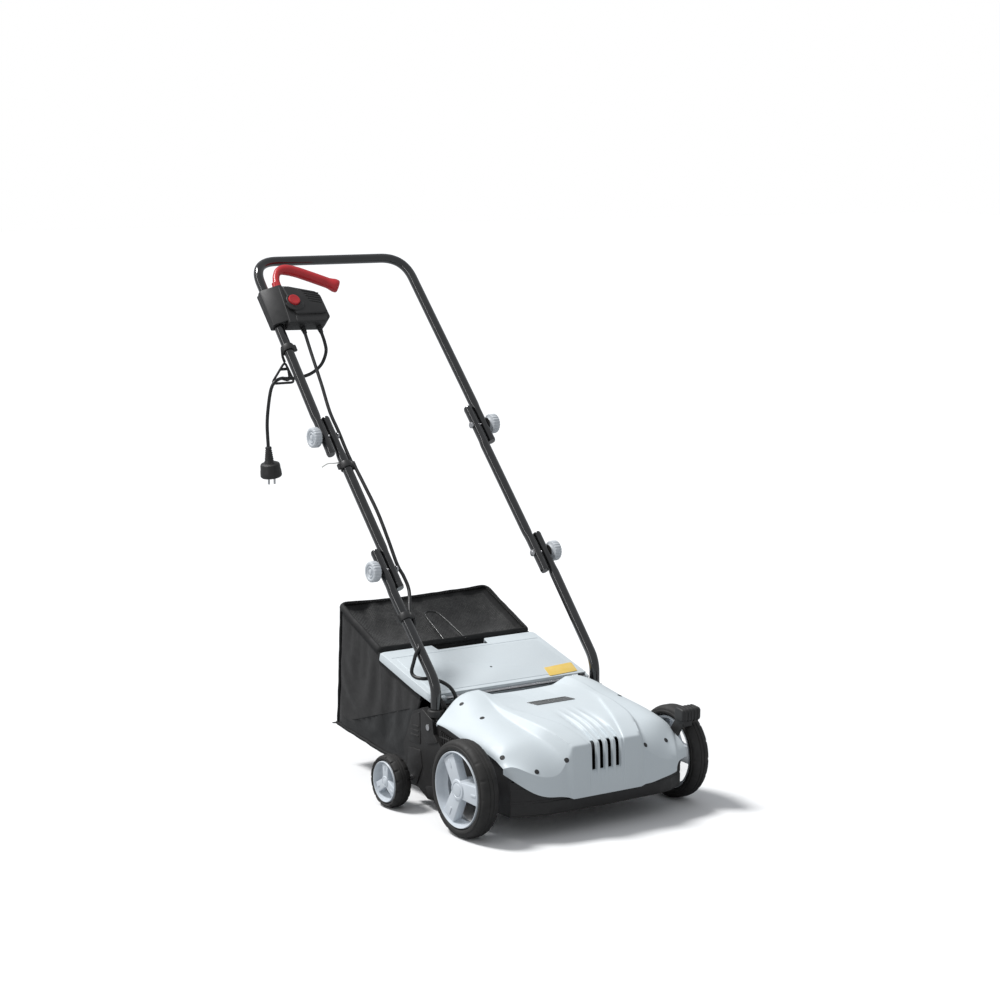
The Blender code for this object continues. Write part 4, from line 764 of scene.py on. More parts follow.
def cover_cage():
    """The cover's coarse mesh, for a subdivision to round, with its slots left open."""
    bm = bmesh.new()
    bm.edges.layers.float.new("crease_edge")
    halves = {side: half_rows(side) for side in (-1, 1)}
    middles = [bm.verts.new(row[0]) for row in halves[1]]
    for side, rows in halves.items():
        grid = [[middles[i], *(bm.verts.new(point) for point in row[1:])] for i, row in enumerate(rows)]
        for i, (near, far) in enumerate(zip(grid, grid[1:])):
            for j in range(len(near) - 1):
                if FIRST_NOSE - 2 <= i <= FIRST_NOSE + 2 and j in GROOVE_CELLS:
                    continue
                ring = (near[j], near[j + 1], far[j + 1], far[j])
                bm.faces.new(ring if side < 0 else ring[::-1])
        sharpen_cage(bm, grid, side)
    bm.transform(DATUM)
    mesh = bpy.data.meshes.new("cover")
    bm.to_mesh(mesh)
    bm.free()
    return mesh


def sharpen_cage(bm, grid, side):
    """Keeps the crease lines of the cover crisp where the photo shows them so."""
    crease = bm.edges.layers.float["crease_edge"]
    hood, facet = len(GROOVES) + 2, len(GROOVES) + 3
    last = len(grid[0]) - 1

    def sharpen(a, b, amount):
        edge = bm.edges.get((a, b))
        if edge:
            edge[crease] = max(edge[crease], amount)

    def along(i, column, amount):
        sharpen(grid[i][column], grid[i + 1][column], amount)

    def across(i, column, amount):
        sharpen(grid[i][column], grid[i][column + 1], amount)

    for i in range(len(grid) - 1):
        along(i, last, 1.0)
        along(i, hood, 1.0 if 5 < i < FIRST_NOSE - 2 else 0.6)
        along(i, facet, 0.7)
        if i > 6:
            along(i, hood - 1, 0.9)
            along(i, hood - 2, 0.8)
        for cell in GROOVE_CELLS if i >= FIRST_NOSE - 5 else ():
            for k in range(cell - 1, cell + 3):
                along(i, k, 0.9)
        if i >= FIRST_NOSE - 2 and side > 0:
            along(i, last - 2, 0.9)
    for cell in GROOVE_CELLS:
        for i in (FIRST_NOSE - 2, FIRST_NOSE + 3):
            across(i, cell, 1.0)
    for j in range(last):
        across(0, j, 1.0)
        across(1, j, 0.85)
        across(-1, j, 1.0)
        if j >= facet:
            across(FIRST_NOSE, j, 0.9)
            if side > 0 and j >= last - 2:
                across(FIRST_NOSE - 1, j, 0.8)


def top_cover():
    """The grey shell, subdivided from its cage and given a wall."""
    obj = place_object("cover_shell", cover_cage(), None, "grey_shell", sharp=180.0)
    if max(obj.data.polygons, key=lambda face: face.center.z).normal.z < 0:
        obj.data.flip_normals()
    smooth = obj.modifiers.new("Smooth", "SUBSURF")
    smooth.levels = 3
    smooth.render_levels = 3
    skin = obj.modifiers.new("Wall", "SOLIDIFY")
    skin.thickness = COVER_WALL
    skin.offset = -1.0
    mesh = evaluated_copy(obj)
    bpy.data.objects.remove(obj)
    return place_object("cover_shell", mesh, "chassis", "grey_shell", ["top_cover"], sharp=50.0)


def surface_reader(obj):
    """A tree of the object's faces, for rays to find its surface."""
    bm = bmesh.new()
    bm.from_mesh(obj.data)
    bm.transform(obj.matrix_world)
    tree = BVHTree.FromBMesh(bm)
    bm.free()
    return tree


def cover_screws(tree):
    """Countersunk screws on the wings, each sitting on a flat near-black disc that paints the shade of its
    recess.
    """
    shade_disc = [
        (0.0, 0.00035), (0.0034, 0.00035), (0.0042, 0.0006), (0.0047, 0.0001), (0.0047, -0.0012),
        (0.0, -0.0012),
    ]
    head = [(0.0, 0.0007), (0.0014, 0.0007), (0.0026, 0.0004), (0.0026, -0.0008), (0.0, -0.0008)]
    wings = ((0.158, 0.136), (0.158, 0.066), (0.1925, -0.052))
    on_top = [(side * x, y, 0.4) for x, y in wings for side in (-1, 1)]
    in_front = [(x, -0.3, z) for x, z in ((-0.147, 0.128), (-0.087, 0.142), (0.095, 0.143), (0.155, 0.14))]
    shade_discs, heads = Form(WORLD), Form(WORLD)
    for starts, heading in ((on_top, Vector((0, 0, -1))), (in_front, Vector((0, 1, 0)))):
        for start in starts:
            hit, normal, _, _ = tree.ray_cast(DATUM @ Vector(start), heading)
            if hit is None:
                continue
            if normal.dot(heading) > 0:
                normal = -normal
            turn = Vector((1, 0, 0)).rotation_difference(normal).to_matrix().to_4x4()
            for form, profile in ((shade_discs, shade_disc), (heads, head)):
                form.absorb(Form(WORLD).lathe(profile, steps=24).moved(Matrix.Translation(hit) @ turn))
    # The discs are painted shade for the screw recesses; the cover has no hollow under them.
    piece("cover_screw_painted_shade", shade_discs, "chassis", "recess_dark")
    piece("cover_screw_heads", heads, "chassis", "rotor_black")


def badge(tree):
    """A blank plate with slanted ends and a raised rim, laid on the cover where the CAD has its plate."""
    half, slant, deep = 0.0485, 0.01, 0.01
    outline = [(slant - half, -deep), (half, -deep), (half - slant, deep), (-half, deep)]
    inner = [(x * 0.955, y * 0.8) for x, y in outline]
    low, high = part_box("badge_plate")
    rear, front = (tree.ray_cast(Vector((0, y, 0.5)), Vector((0, 0, -1)))[0] for y in (high.y, low.y))
    tilt = math.atan2(rear.z - front.z, rear.y - front.y)
    form = Form(Matrix.Translation((front + rear) / 2) @ Matrix.Rotation(tilt, 4, "X"))
    form.prism(outline, 0.0, 0.0013, 0.0003, holes=[inner[::-1]])
    form.prism([(x * 0.96, y * 0.82) for x, y in outline], 0.0, 0.0008)
    piece("badge_blank", form, "chassis", "badge_grey", ["badge_plate"], sharp=30.0)


# ---------------------------------------------------------------- flap


def flap():
    """The rear flap with skirts and ribs, in its own plane: Y runs down it from the rod, Z off its face."""
    wide, length, notch = 0.181, 0.197, 0.0615
    step = notch - 0.003
    form = Form(FLAP)
    outline = [
        (-wide, 0.0052), (wide, 0.0052), (wide, length), (notch, length), (step, length - 0.0215),
        (-step, length - 0.0215), (-notch, length), (-wide, length),
    ]
    radii = [0.002, 0.002, 0.01, 0.003, 0.004, 0.004, 0.003, 0.01]
    form.prism(filleted(outline, radii), 0.0046, 0.0078, 0.0012)
    panel = [(-0.168, 0.016), (0.168, 0.016), (0.164, 0.162), (-0.164, 0.162)]
    form.prism(filleted(panel, 0.008), 0.007, 0.0086, 0.0006)
    bar = [(-0.172, 0.1665), (0.172, 0.1665), (0.172, 0.17), (-0.172, 0.17)]
    form.prism(filleted(bar, 0.001, 3), 0.007, 0.0084, 0.0005)
    skirt = [
        (-0.006, -0.006), (0.06, -0.01), (0.19, -0.0088), (length - 0.001, -0.0085),
        (length - 0.001, 0.0062), (0.006, 0.0062), (-0.006, 0.004),
    ]
    knuckle = [(0.0062, -0.0056), (0.0062, 0.0056), (-0.0058, 0.0045), (-0.0058, -0.0045)]
    for side in (-1, 1):
        form.prism(filleted(skirt, 0.003, 4), *span(side, wide - 0.003, wide - 0.0001), 0.0007, "x")
        inner, outer = side * (notch + 0.001), side * (wide - 0.001)
        lip = [(x, length - y) for x, y in ((inner, 0.003), (outer, 0.003), (outer, 0.0002), (inner, 0.0002))]
        form.prism(lip, -0.0088, 0.0065, 0.0007)
        form.prism(filleted(knuckle, 0.003, 4), side * 0.15, side * 0.16, 0.0008, "x")
    form.brick((-0.0585, length - 0.0235, -0.004), (0.0585, length - 0.0205, 0.0065), 0.0008)
    form.brick((-0.148, 0.0052, -0.016), (0.148, 0.008, 0.006), 0.0008)
    form.brick((-0.06, length - 0.0225, -0.003), (0.06, length - 0.0065, 0.0), 0.0008)
    for x in spaced(-0.135, 0.135, 6):
        form.brick((x - 0.001, 0.012, -0.003), (x + 0.001, length - 0.024, 0.005), 0.0004)
    piece("flap_shell", form, "flap", "grey_shell", ["rear_flap"])

    label = Form(FLAP)
    corners = [(0.096, 0.0085), (0.165, 0.0125), (0.1745, 0.049), (0.105, 0.043)]
    label.prism(filleted(corners, 0.003, 4), 0.0084, 0.0089, 0.0001)
    piece("flap_label_blank", label, "flap", "sticker_yellow")
    profile = [(0.0, 0.0007), (0.0016, 0.0006), (0.0024, 0.0), (0.0024, -0.001), (0.0, -0.001)]
    stud = Form(FLAP).lathe(profile, steps=20)
    stud.moved(Matrix.Translation((0.0024, 0.0778, 0.0087)) @ UPRIGHT)
    piece("flap_stud", stud, "flap", "recess_dark")


# ---------------------------------------------------------------- housing

SIDE_FACE = 0.1985
# The lower tubes enter the housing this far out from the middle, and as far back from the front axle.
SOCKET_AT = 0.184


def tray_skin():
    """The tray's front face, with a groove along it, wrapped round its bowed plan."""
    plan = [(0.1925, -0.0785), (0.158, -0.0948), (0.127, -0.1028), (0.0, -0.1048)]
    plan += [(-x, y) for x, y in reversed(plan[:-1])]
    section = (
        (0.0, 0.0985), (-0.0009, 0.097), (-0.0009, 0.076), (0.0002, 0.0745), (0.0002, 0.0715),
        (-0.0009, 0.07), (-0.0008, 0.05),
    )
    foot = ((0.0012, 0.0462), (0.0045, 0.0462), (0.0045, 0.0985))
    tray = Form()
    tray.bridge([
        [(x, y + back, z) for back, z in section] + [(x * 0.988, y + back, z) for back, z in foot]
        for x, y, _ in filleted(plan, 0.012, closed=False)
    ])
    piece("tray_skin", tray, "chassis", "housing_black", sharp=28.0)


def side_pod(side, name):
    """The mouldings on one side of the housing, as outlines of (y, z), and the ribs of its wheel arch."""
    pod = Form()

    def slab(points, outer, inner=SIDE_FACE, radius=0.004, bevel=0.0008):
        pod.prism(filleted(points, radius, 4), *span(side, inner, outer), bevel, "x")

    slab([
        (0.171, 0.176), (0.166, 0.15), (0.15, 0.136), (0.19, 0.126), (0.212, 0.15), (0.207, 0.192),
    ], 0.2018)
    slab([(0.214, 0.12), (0.252, 0.12), (0.262, 0.132), (0.243, 0.172), (0.216, 0.184)], 0.2012)
    slab([
        (0.228, 0.04), (0.26, 0.04), (0.262, 0.068), (0.256, 0.108), (0.214, 0.11), (0.208, 0.078),
    ], 0.2015)
    for radius in (0.104, 0.112, 0.12, 0.128):
        turns = spaced(math.radians(-28), math.radians(28), 16)
        arch = [(side * 0.2, radius * math.cos(turn), 0.09 + radius * math.sin(turn)) for turn in turns]
        pod.tube(arch, (0.0014, 0.0018), 8)
    slab([(0.118, 0.03), (0.186, 0.026), (0.198, 0.044), (0.15, 0.052), (0.12, 0.046)], 0.2016)
    for z in (0.134, 0.143, 0.152):
        slab([(0.219, z), (0.246, z), (0.246, z + 0.003), (0.219, z + 0.003)], 0.2024, 0.2005, 0.001, 0.0004)
    piece(f"side_pod_{name}", pod, "chassis", "housing_black", sharp=30.0)


def side_louvre(side, name):
    """Upright fins between two rails, under the cover's side edge."""
    louvre = Form()

    def bar(y0, y1, z0, z1, outer):
        outline = [(y0, z0), (y1, z0), (y1, z1), (y0, z1)]
        louvre.prism(outline, *span(side, 0.1925, outer), 0.0005, "x")

    for y in spaced(0.092, 0.15, 11):
        bar(y - 0.0012, y + 0.0012, 0.132, between([(0.083, 0.147), (0.157, 0.16)], y), 0.1968)
    for z in (0.131, 0.148):
        bar(0.088, 0.154, z - 0.0012, z + 0.0012, 0.1972)
    piece(f"side_louvre_{name}", louvre, "chassis", "housing_black")


def socket_collar(side, name):
    """A ring round the hole where a lower tube enters the housing."""
    profile = ((0.0112, 0.18), (0.0165, 0.18), (0.0165, 0.1905), (0.015, 0.1925), (0.0112, 0.1925))
    x, y = side * SOCKET_AT, SOCKET_AT
    collar = Form()
    collar.bridge([[(x + a, y + b, z) for a, b in circle(radius, 32)] for radius, z in profile], loop=True)
    piece(f"socket_collar_{name}", collar, "chassis", "housing_black")


def housing_details():
    tray_skin()
    for side, name in SIDES:
        side_pod(side, name)
        side_louvre(side, name)
        socket_collar(side, name)


# ---------------------------------------------------------------- depth lever


def depth_lever():
    """The lever's plate, its stiffening spine and its ribbed grip, as outlines of (y, z) from its pivot."""
    form = Form(DATUM @ Matrix.Translation((0, -0.025, 0.075)))
    turns = [math.radians(degrees) for degrees in spaced(200, 380, 12)]
    root = [(0.0145 * math.cos(turn), 0.0145 * math.sin(turn)) for turn in turns]
    neck = [
        (0.006, 0.05), (-0.026, 0.092), (-0.029, 0.117), (-0.054, 0.113), (-0.052, 0.089), (-0.026, 0.05),
    ]
    form.prism(root + neck, 0.2012, 0.2056, 0.0009, "x")
    spine = [
        (0.004, 0.01), (0.001, 0.052), (-0.034, 0.096), (-0.04, 0.096), (-0.018, 0.052), (-0.004, 0.01),
    ]
    form.prism(spine, 0.204, 0.2084, 0.0008, "x")
    grip = [(-0.054, 0.0905), (-0.027, 0.093), (-0.0285, 0.118), (-0.055, 0.115)]
    form.prism(filleted(grip, 0.007, 6), 0.1975, 0.2415, 0.003, "x")
    ridge = [(-0.0552, 0.0893), (-0.0258, 0.0918), (-0.0273, 0.1192), (-0.0562, 0.1162)]
    for x in spaced(0.205, 0.235, 5):
        form.prism(filleted(ridge, 0.008, 6), x - 0.0015, x + 0.0015, 0.0006, "x")
    collar = [(-0.05, 0.08), (-0.027, 0.08), (-0.029, 0.096), (-0.052, 0.096)]
    form.prism(filleted(collar, 0.004, 4), 0.2045, 0.223, 0.0016, "x")
    boss = [(0.0052, 0.2078), (0.01, 0.2078), (0.0112, 0.2066), (0.0112, 0.204), (0.0052, 0.204)]
    form.lathe(boss, steps=36)
    piece("depth_lever_grip", form, "depth_crank", "box_black", ["depth_lever"])


# ---------------------------------------------------------------- handle

TUBE = 0.01
FLAT_KEEP = 0.8
BOLT_X, MIDDLE_X, KNOB_FACE = 0.19, 0.17, 0.1992
OVERLAP = 0.045
CORNER_X, UPPER_LENGTH = 0.183, 0.4523
# As seen from the lower pivot: the way to the upper pivot, and the point where the left lower tube bends.
RUN = LOWER.inverted() @ Vector((0, UPPER_PIVOT.y, UPPER_PIVOT.z))
LOWER_BEND = LOWER.inverted() @ (DATUM @ Vector((-SOCKET_AT, SOCKET_AT, 0.24)))


def tube_points(form, path, flats):
    """A tube with its ends plugged and rounded, pressed flatter across X around each bolt."""
    count_before = len(form.bm.verts)
    end = 0.0022
    total = reaches(path)[-1]

    def radius(share):
        nearest = min(share, 1.0 - share) * total
        return TUBE if nearest > end else TUBE - 0.0016 * (1 - nearest / end)

    form.tube(path, radius, 32, flat=(1, 0, 0))
    form.bm.verts.ensure_lookup_table()
    for vertex in form.bm.verts[count_before:]:
        for flat in flats:
            press = eased(0.056 - (vertex.co - Vector(flat)).length, 0.0, 0.02)
            keep = 1.0 - (1.0 - FLAT_KEEP) * press
            vertex.co.x = flat[0] + (vertex.co.x - flat[0]) * keep


def even(path, step=0.004):
    """The same straight runs with points at about an even step."""
    made = [path[0]]
    for a, b in zip(path, path[1:]):
        count = max(1, round((b - a).length / step))
        made += [a.lerp(b, i / count) for i in range(1, count + 1)]
    return made


def even_loop(path, step):
    """A closed outline with points at about an even step."""
    return even([*path, path[0]], step)[:-1]


def lower_tubes():
    """Two tubes that rise from their sockets and bend back into the handle's slope."""
    up_handle = Vector((0, math.cos(HANDLE_TILT), math.sin(HANDLE_TILT)))
    for side, name in SIDES:
        pivot = DATUM.inverted() @ Vector((side * BOLT_X, LOWER_PIVOT.y, LOWER_PIVOT.z))
        foot, bend = (Vector((side * SOCKET_AT, SOCKET_AT, z)) for z in (0.1295, 0.24))
        corners = [foot, bend, pivot, pivot + up_handle * OVERLAP]
        form = Form()
        tube_points(form, even(filleted(corners, [0, 0.06, 0.02, 0], 14, closed=False)), [pivot])
        node = f"lower_handle_tube_{name}"
        piece(f"lower_tube_{name}", form, "chassis", "tube_black", [node], sharp=60.0)


def middle_tubes():
    past = RUN.normalized() * OVERLAP
    for side, name in SIDES:
        foot = Vector((side * MIDDLE_X, 0, 0))
        form = Form(LOWER)
        tube_points(form, even([foot - past, foot + RUN + past]), [foot, foot + RUN])
        node = f"middle_handle_tube_{name}"
        piece(f"middle_tube_{name}", form, "middle_handle", "tube_black", [node], sharp=60.0)


def leg_x(distance):
    """How far out a leg of the upper bar stands at a distance above its bolt."""
    return BOLT_X + (CORNER_X - BOLT_X) * distance / UPPER_LENGTH


def upper_bar():
    right = [Vector((leg_x(-OVERLAP), -OVERLAP, 0)), Vector((CORNER_X, UPPER_LENGTH, 0))]
    left = [Vector((-p.x, p.y, 0)) for p in right]
    path = filleted([left[0], left[1], right[1], right[0]], [0, 0.058, 0.058, 0], 18, closed=False)
    form = Form(UPPER)
    tube_points(form, even(path), [Vector((-BOLT_X, 0, 0)), Vector((BOLT_X, 0, 0))])
    piece("upper_bar", form, "upper_handle", "tube_black", ["upper_handle_bar"], sharp=60.0)


def knob_shift(angle, radius, _):
    """Twenty shallow flutes round a knob's rim."""
    if radius < 0.0188:
        return 0.0
    return -0.0011 * (0.5 + 0.5 * math.cos(angle * 20)) ** 3


def knobs():
    """A fluted knob, a washer and a bolt's domed head at each of the four fold joints."""
    grip = [
        (0.0, 0.0203), (0.0042, 0.0203), (0.0054, 0.0197), (0.0058, 0.0172), (0.0078, 0.017),
        (0.0084, 0.0196), (0.0102, 0.02), (0.0112, 0.018), (0.0134, 0.0178), (0.0145, 0.02),
        (0.0172, 0.0203), (0.0192, 0.0196), (0.0204, 0.0176), (0.0204, 0.0062), (0.0192, 0.0046),
        (0.015, 0.004), (0.0128, 0.0034), (0.0112, 0.0012), (0.0104, 0.0004), (0.0034, 0.0004),
        (0.0034, 0.015), (0.0, 0.015),
    ]
    washer = [(0.0034, 0.0087), (0.0125, 0.0087), (0.0132, 0.0081), (0.0132, 0.0079), (0.0034, 0.0079)]
    dome = [
        (0.0, -0.0337), (0.003, -0.0335), (0.0056, -0.0325), (0.0068, -0.0307), (0.0068, -0.0297),
        (0.0, -0.0297),
    ]
    for level, pivot, holder in (("lower", LOWER, "chassis"), ("upper", UPPER, "upper_handle")):
        for side, name in SIDES:
            node = f"{level}_knob_{name}"
            knob = Form(pivot).lathe(grip, (side * KNOB_FACE, 0, 0), 120, side, knob_shift)
            piece(f"{level}_hand_knob_{name}", knob, node, "knob_grey", [node], sharp=40.0)
            ring = Form(pivot).lathe(washer, (side * BOLT_X, 0, 0), 40, side)
            piece(f"{level}_washer_{name}", ring, holder, "box_black")
            head = Form(pivot).lathe(dome, (side * BOLT_X, 0, 0), 32, side)
            piece(f"{level}_bolt_dome_{name}", head, holder, "bright_steel")


# ---------------------------------------------------------------- switch box, lever and button

SPLIT = 0.0004
BUTTON_AT = (-0.149, 0.3197)
CORD_LEVEL = 0.012


def clam_section(leg, level, lift, inner, tip):
    """Half of the clamp round the leg in one cross-section, as (x, height off the handle's plane)."""
    hole = [(leg + inner * math.cos(a), level * inner * math.sin(a)) for a in spaced(0, math.pi, 13)]
    low = level * SPLIT
    outer = [
        (leg - 0.0163, low), (leg - 0.0163, level * 0.008), (leg - 0.0128, level * 0.0124),
        (tip - 0.007, level * lift), (tip, level * lift), (tip, low),
    ]
    return outer + [(x, n if abs(n) > SPLIT else low) for x, n in hole]


def box_shell(form, outline, level, deep, bevel):
    """One half of the switch box, from the plane where the halves meet."""
    radii = [0.006, 0.008, 0.006, 0.006, 0.006, 0.002, 0.002]
    form.prism(filleted(outline, radii), *span(level, SPLIT, deep), bevel)


def ring_boss(form, profile, centre, along_leg=False):
    """A ring standing off the handle's plane, or along its length, from (radius, height) points."""
    x, y, n = centre
    if along_leg:
        rings = [[(x + c, height, n + d) for c, d in circle(radius, 40)] for radius, height in profile]
    else:
        rings = [[(x + c, y + d, height) for c, d in circle(radius, 40)] for radius, height in profile]
    form.bridge(rings, loop=True)


def switch_box():
    switch_front()
    switch_back()


def switch_front():
    """The half with the raised panel, the ribs, the button's ring and the two cord outlets."""
    form = Form(UPPER)
    front = [
        (-0.09, 0.2665), (-0.0765, 0.279), (-0.0775, 0.335), (-0.088, 0.3475), (-0.148, 0.363),
        (-0.166, 0.364), (-0.1745, 0.269),
    ]
    box_shell(form, front, 1, 0.0285, 0.0022)
    panel = [
        (-0.092, 0.2865), (-0.0805, 0.291), (-0.081, 0.3335), (-0.09, 0.344), (-0.147, 0.3595),
        (-0.161, 0.359), (-0.153, 0.2865),
    ]
    form.prism(filleted(panel, 0.005), 0.0265, 0.0336, 0.003)
    chin = [(-0.0895, 0.269), (-0.08, 0.2885), (-0.155, 0.2885), (-0.158, 0.269)]
    form.prism(filleted(chin, 0.004, 4), 0.02, 0.03, 0.0034)
    form.prism(clam_section(-leg_x(0.32), 1, 0.0284, 0.0112, -0.158), 0.278, 0.3665, 0.0008, "y")
    for i in range(5):
        y = 0.3372 - 0.006 * i
        right, left = -0.0845 - 0.0004 * i, -0.1215 + 0.0022 * i
        rise = y - 0.0006 * i
        rib = [(right, y - 0.0008), (left, rise + 0.0082), (left, rise + 0.01), (right, y + 0.001)]
        form.prism(rib, 0.0326, 0.0348, 0.0005)
    x, y = BUTTON_AT
    ring = (
        (0.016, 0.0325), (0.0164, 0.035), (0.0155, 0.0362), (0.0137, 0.0362), (0.0131, 0.0352),
        (0.0131, 0.0325),
    )
    ring_boss(form, ring, (x, y, 0))
    outer = spaced(math.radians(185), math.radians(355), 18)
    inner = spaced(math.radians(350), math.radians(190), 14)
    crescent = [(x + 0.0215 * math.cos(a), y - 0.004 + 0.0205 * math.sin(a)) for a in outer]
    crescent += [(x + 0.015 * math.cos(a), y + 0.015 * math.sin(a)) for a in inner]
    form.prism(crescent, 0.032, 0.0352, 0.001)
    outlet = ((0.0058, 0.003), (0.0058, -0.003), (0.0048, -0.0045), (0.0037, -0.0045), (0.0037, 0.003))
    for cx, cy in ((-0.14, 0.269), (-0.102, 0.268)):
        ring_boss(form, [(radius, cy + height) for radius, height in outlet], (cx, 0, CORD_LEVEL), True)
    piece("switch_case_front", form, "upper_handle", "box_black", ["switch_box_front"])


def switch_back():
    """The plain rear half with three screw rings."""
    back = Form(UPPER)
    rear = [
        (-0.09, 0.283), (-0.0775, 0.295), (-0.0785, 0.3345), (-0.089, 0.3465), (-0.148, 0.362),
        (-0.172, 0.363), (-0.172, 0.285),
    ]
    box_shell(back, rear, -1, 0.0138, 0.0028)
    back.prism(clam_section(-leg_x(0.32), -1, 0.013, 0.0112, -0.165), 0.28, 0.365, 0.0008, "y")
    ring = ((0.004, -0.013), (0.004, -0.0142), (0.003, -0.0146), (0.0018, -0.0146), (0.0016, -0.013))
    for cx, cy in ((-0.09, 0.325), (-0.158, 0.297), (-0.16, 0.349)):
        ring_boss(back, ring, (cx, cy, 0))
    piece("switch_case_back", back, "upper_handle", "box_black", ["switch_box_back"])


def start_button():
    form = Form(UPPER @ Matrix.Translation((*BUTTON_AT, 0.034)) @ UPRIGHT)
    profile = [
        (0.0, 0.0052), (0.006, 0.0053), (0.0085, 0.0056), (0.0104, 0.006), (0.0116, 0.0056),
        (0.0124, 0.0042), (0.0125, -0.01), (0.0, -0.01),
    ]
    form.lathe(profile, steps=56)
    piece("start_button_cap", form, "start_button", "lever_red", ["start_button"])


def grip_girth(share):
    """The lever's two radii at a share along it: a thick root, a thin neck, then a flared grip."""
    neck = 0.0072 + 0.0046 * eased(share, 0.26, 0.44)
    flare = 0.003 * eased(share, 0.88, 0.97)
    tip = 1.0 - 0.14 * eased(share, 0.985, 1.0)
    root = 1.0 + 0.28 * (1 - eased(share, 0.06, 0.2))
    wide = (neck + flare) * tip * root
    return (wide * 0.9, wide * 1.02)


def bail_lever():
    """A round root, a bent neck that broadens into a flared grip, and finger ribs under it."""
    n = 0.01
    form = Form(UPPER)
    bend = (
        (-0.1535, 0.356), (-0.156, 0.37), (-0.1545, 0.386), (-0.149, 0.403), (-0.1385, 0.4165),
        (-0.122, 0.4205), (-0.1, 0.4145), (-0.076, 0.403), (-0.048, 0.3885), (-0.021, 0.374),
        (-0.015, 0.3708),
    )
    line = smooth_path([(x, y, n) for x, y in bend], 0.003)
    form.tube(line, grip_girth, 28, flat=(0, 0, 1))
    for i in range(11):
        share = 0.5 + 0.036 * i
        k = round(share * (len(line) - 1))
        along = (line[k + 1] - line[k - 1]).normalized()
        under = Vector((along.y, -along.x, 0))
        half = Vector((0, 0, 0.006))
        inner = line[k] + under * 0.0072
        form.tube(smooth_path([inner - half, line[k] + under * 0.0094, inner + half], 0.002), 0.0014, 8)
    form.tube([(-0.15, 0.368, n), (-0.142, 0.3685, n), (-0.127, 0.367, n)], 0.0058)
    form.tube([(-0.159, 0.36, n), (-0.161, 0.372, n), (-0.159, 0.385, n)], 0.0066)
    root = [
        (0.0, 0.0064), (0.0085, 0.0064), (0.0094, 0.0056), (0.0094, -0.0056), (0.0085, -0.0064),
        (0.0, -0.0064),
    ]
    form.absorb(Form().lathe(root, steps=48).moved(Matrix.Translation((-0.15, 0.352, n)) @ UPRIGHT))
    piece("bail_lever_grip", form, "bail_lever", "lever_red", ["bail_lever"], sharp=45.0)


# ---------------------------------------------------------------- cables

CORD = 0.0035
CORD_X = -0.1535
# Shares of the middle and of the lower length where a clip holds the motor cable, and how far in it holds it.
UPPER_CLIP, LOWER_CLIP, LOWER_CLIP_IN = 0.77, 0.42, 0.0165
LEFT_BOLT = Vector((-BOLT_X, 0, 0))
DOWN = LOWER_BEND - LEFT_BOLT


def to_upper(point):
    """A point of the deck's frame as the upper pivot sees it."""
    return UPPER.inverted() @ (DATUM @ Vector(point))


def fold_blend(obj, upper, lower, pivot):
    """Carries a cable across a fold joint, over 30 mm on either side of it."""
    near, far = (pivot @ Vector((0, reach, 0)) for reach in (0.03, -0.03))
    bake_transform(obj, upper, lower, start=near, end=far)


def cables():
    motor_cable_top()
    motor_cable_low()
    supply_lead()
    cord_boots()


def motor_cable_top():
    """From the switch box to the clip on the middle tube."""
    meet = UPPER.inverted() @ LOWER @ (Vector((CORD_X, 0, 0)) + RUN * UPPER_CLIP)
    top = Form(UPPER)
    top.tube(smooth_path([
        (-0.14, 0.276, CORD_LEVEL), (-0.14, 0.256, CORD_LEVEL), (-0.144, 0.205, 0.01),
        (-0.149, 0.125, 0.006), (CORD_X, 0.06, 0.001), (CORD_X + 0.001, 0.008, 0.0),
        (CORD_X, -0.035, 0.0), tuple(meet),
    ]), CORD, 16)
    obj = piece("motor_cable_top", top, None, "cable_black", ["motor_cable_upper"])
    fold_blend(obj, "upper_handle", "middle_handle", UPPER)


def motor_cable_low():
    """From the clip on the middle tube, past the lower joint, round a slack loop and into the housing."""
    held = LEFT_BOLT + DOWN * LOWER_CLIP + Vector((LOWER_CLIP_IN, 0, 0))
    length = RUN.length
    on_handle = [
        (CORD_X, length * UPPER_CLIP, 0), (CORD_X + 0.0015, length * 0.6, 0.003),
        (CORD_X + 0.0035, length * 0.4, 0.0045), (CORD_X + 0.002, length * 0.2, 0.0025),
        (CORD_X, 0.01, 0.0), (CORD_X + 0.003, -0.02, 0.0), (CORD_X + 0.001, -0.052, 0.0),
        held + Vector((0, 0.012, 0)), held + Vector((0, -0.012, 0)), (-0.18, -0.15, -0.015),
    ]
    slack = [
        (-0.19, 0.233, 0.306), (-0.2, 0.229, 0.292), (-0.2045, 0.23, 0.276),
        (-0.2055, 0.235, 0.262), (-0.2052, 0.234, 0.2535), (-0.203, 0.224, 0.2485),
        (-0.196, 0.212, 0.2475), (-0.184, 0.2085, 0.2465), (-0.17, 0.203, 0.243),
        (-0.158, 0.196, 0.237), (-0.148, 0.19, 0.228), (-0.141, 0.186, 0.215),
        (-0.138, 0.184, 0.2),
    ]
    points = [LOWER @ Vector(p) for p in on_handle] + [DATUM @ Vector(p) for p in slack]
    low = Form(WORLD).tube(smooth_path(points), CORD, 16)
    obj = piece("motor_cable_low", low, None, "cable_black", ["motor_cable_middle", "motor_cable_lower"])
    fold_blend(obj, "middle_handle", "chassis", LOWER)


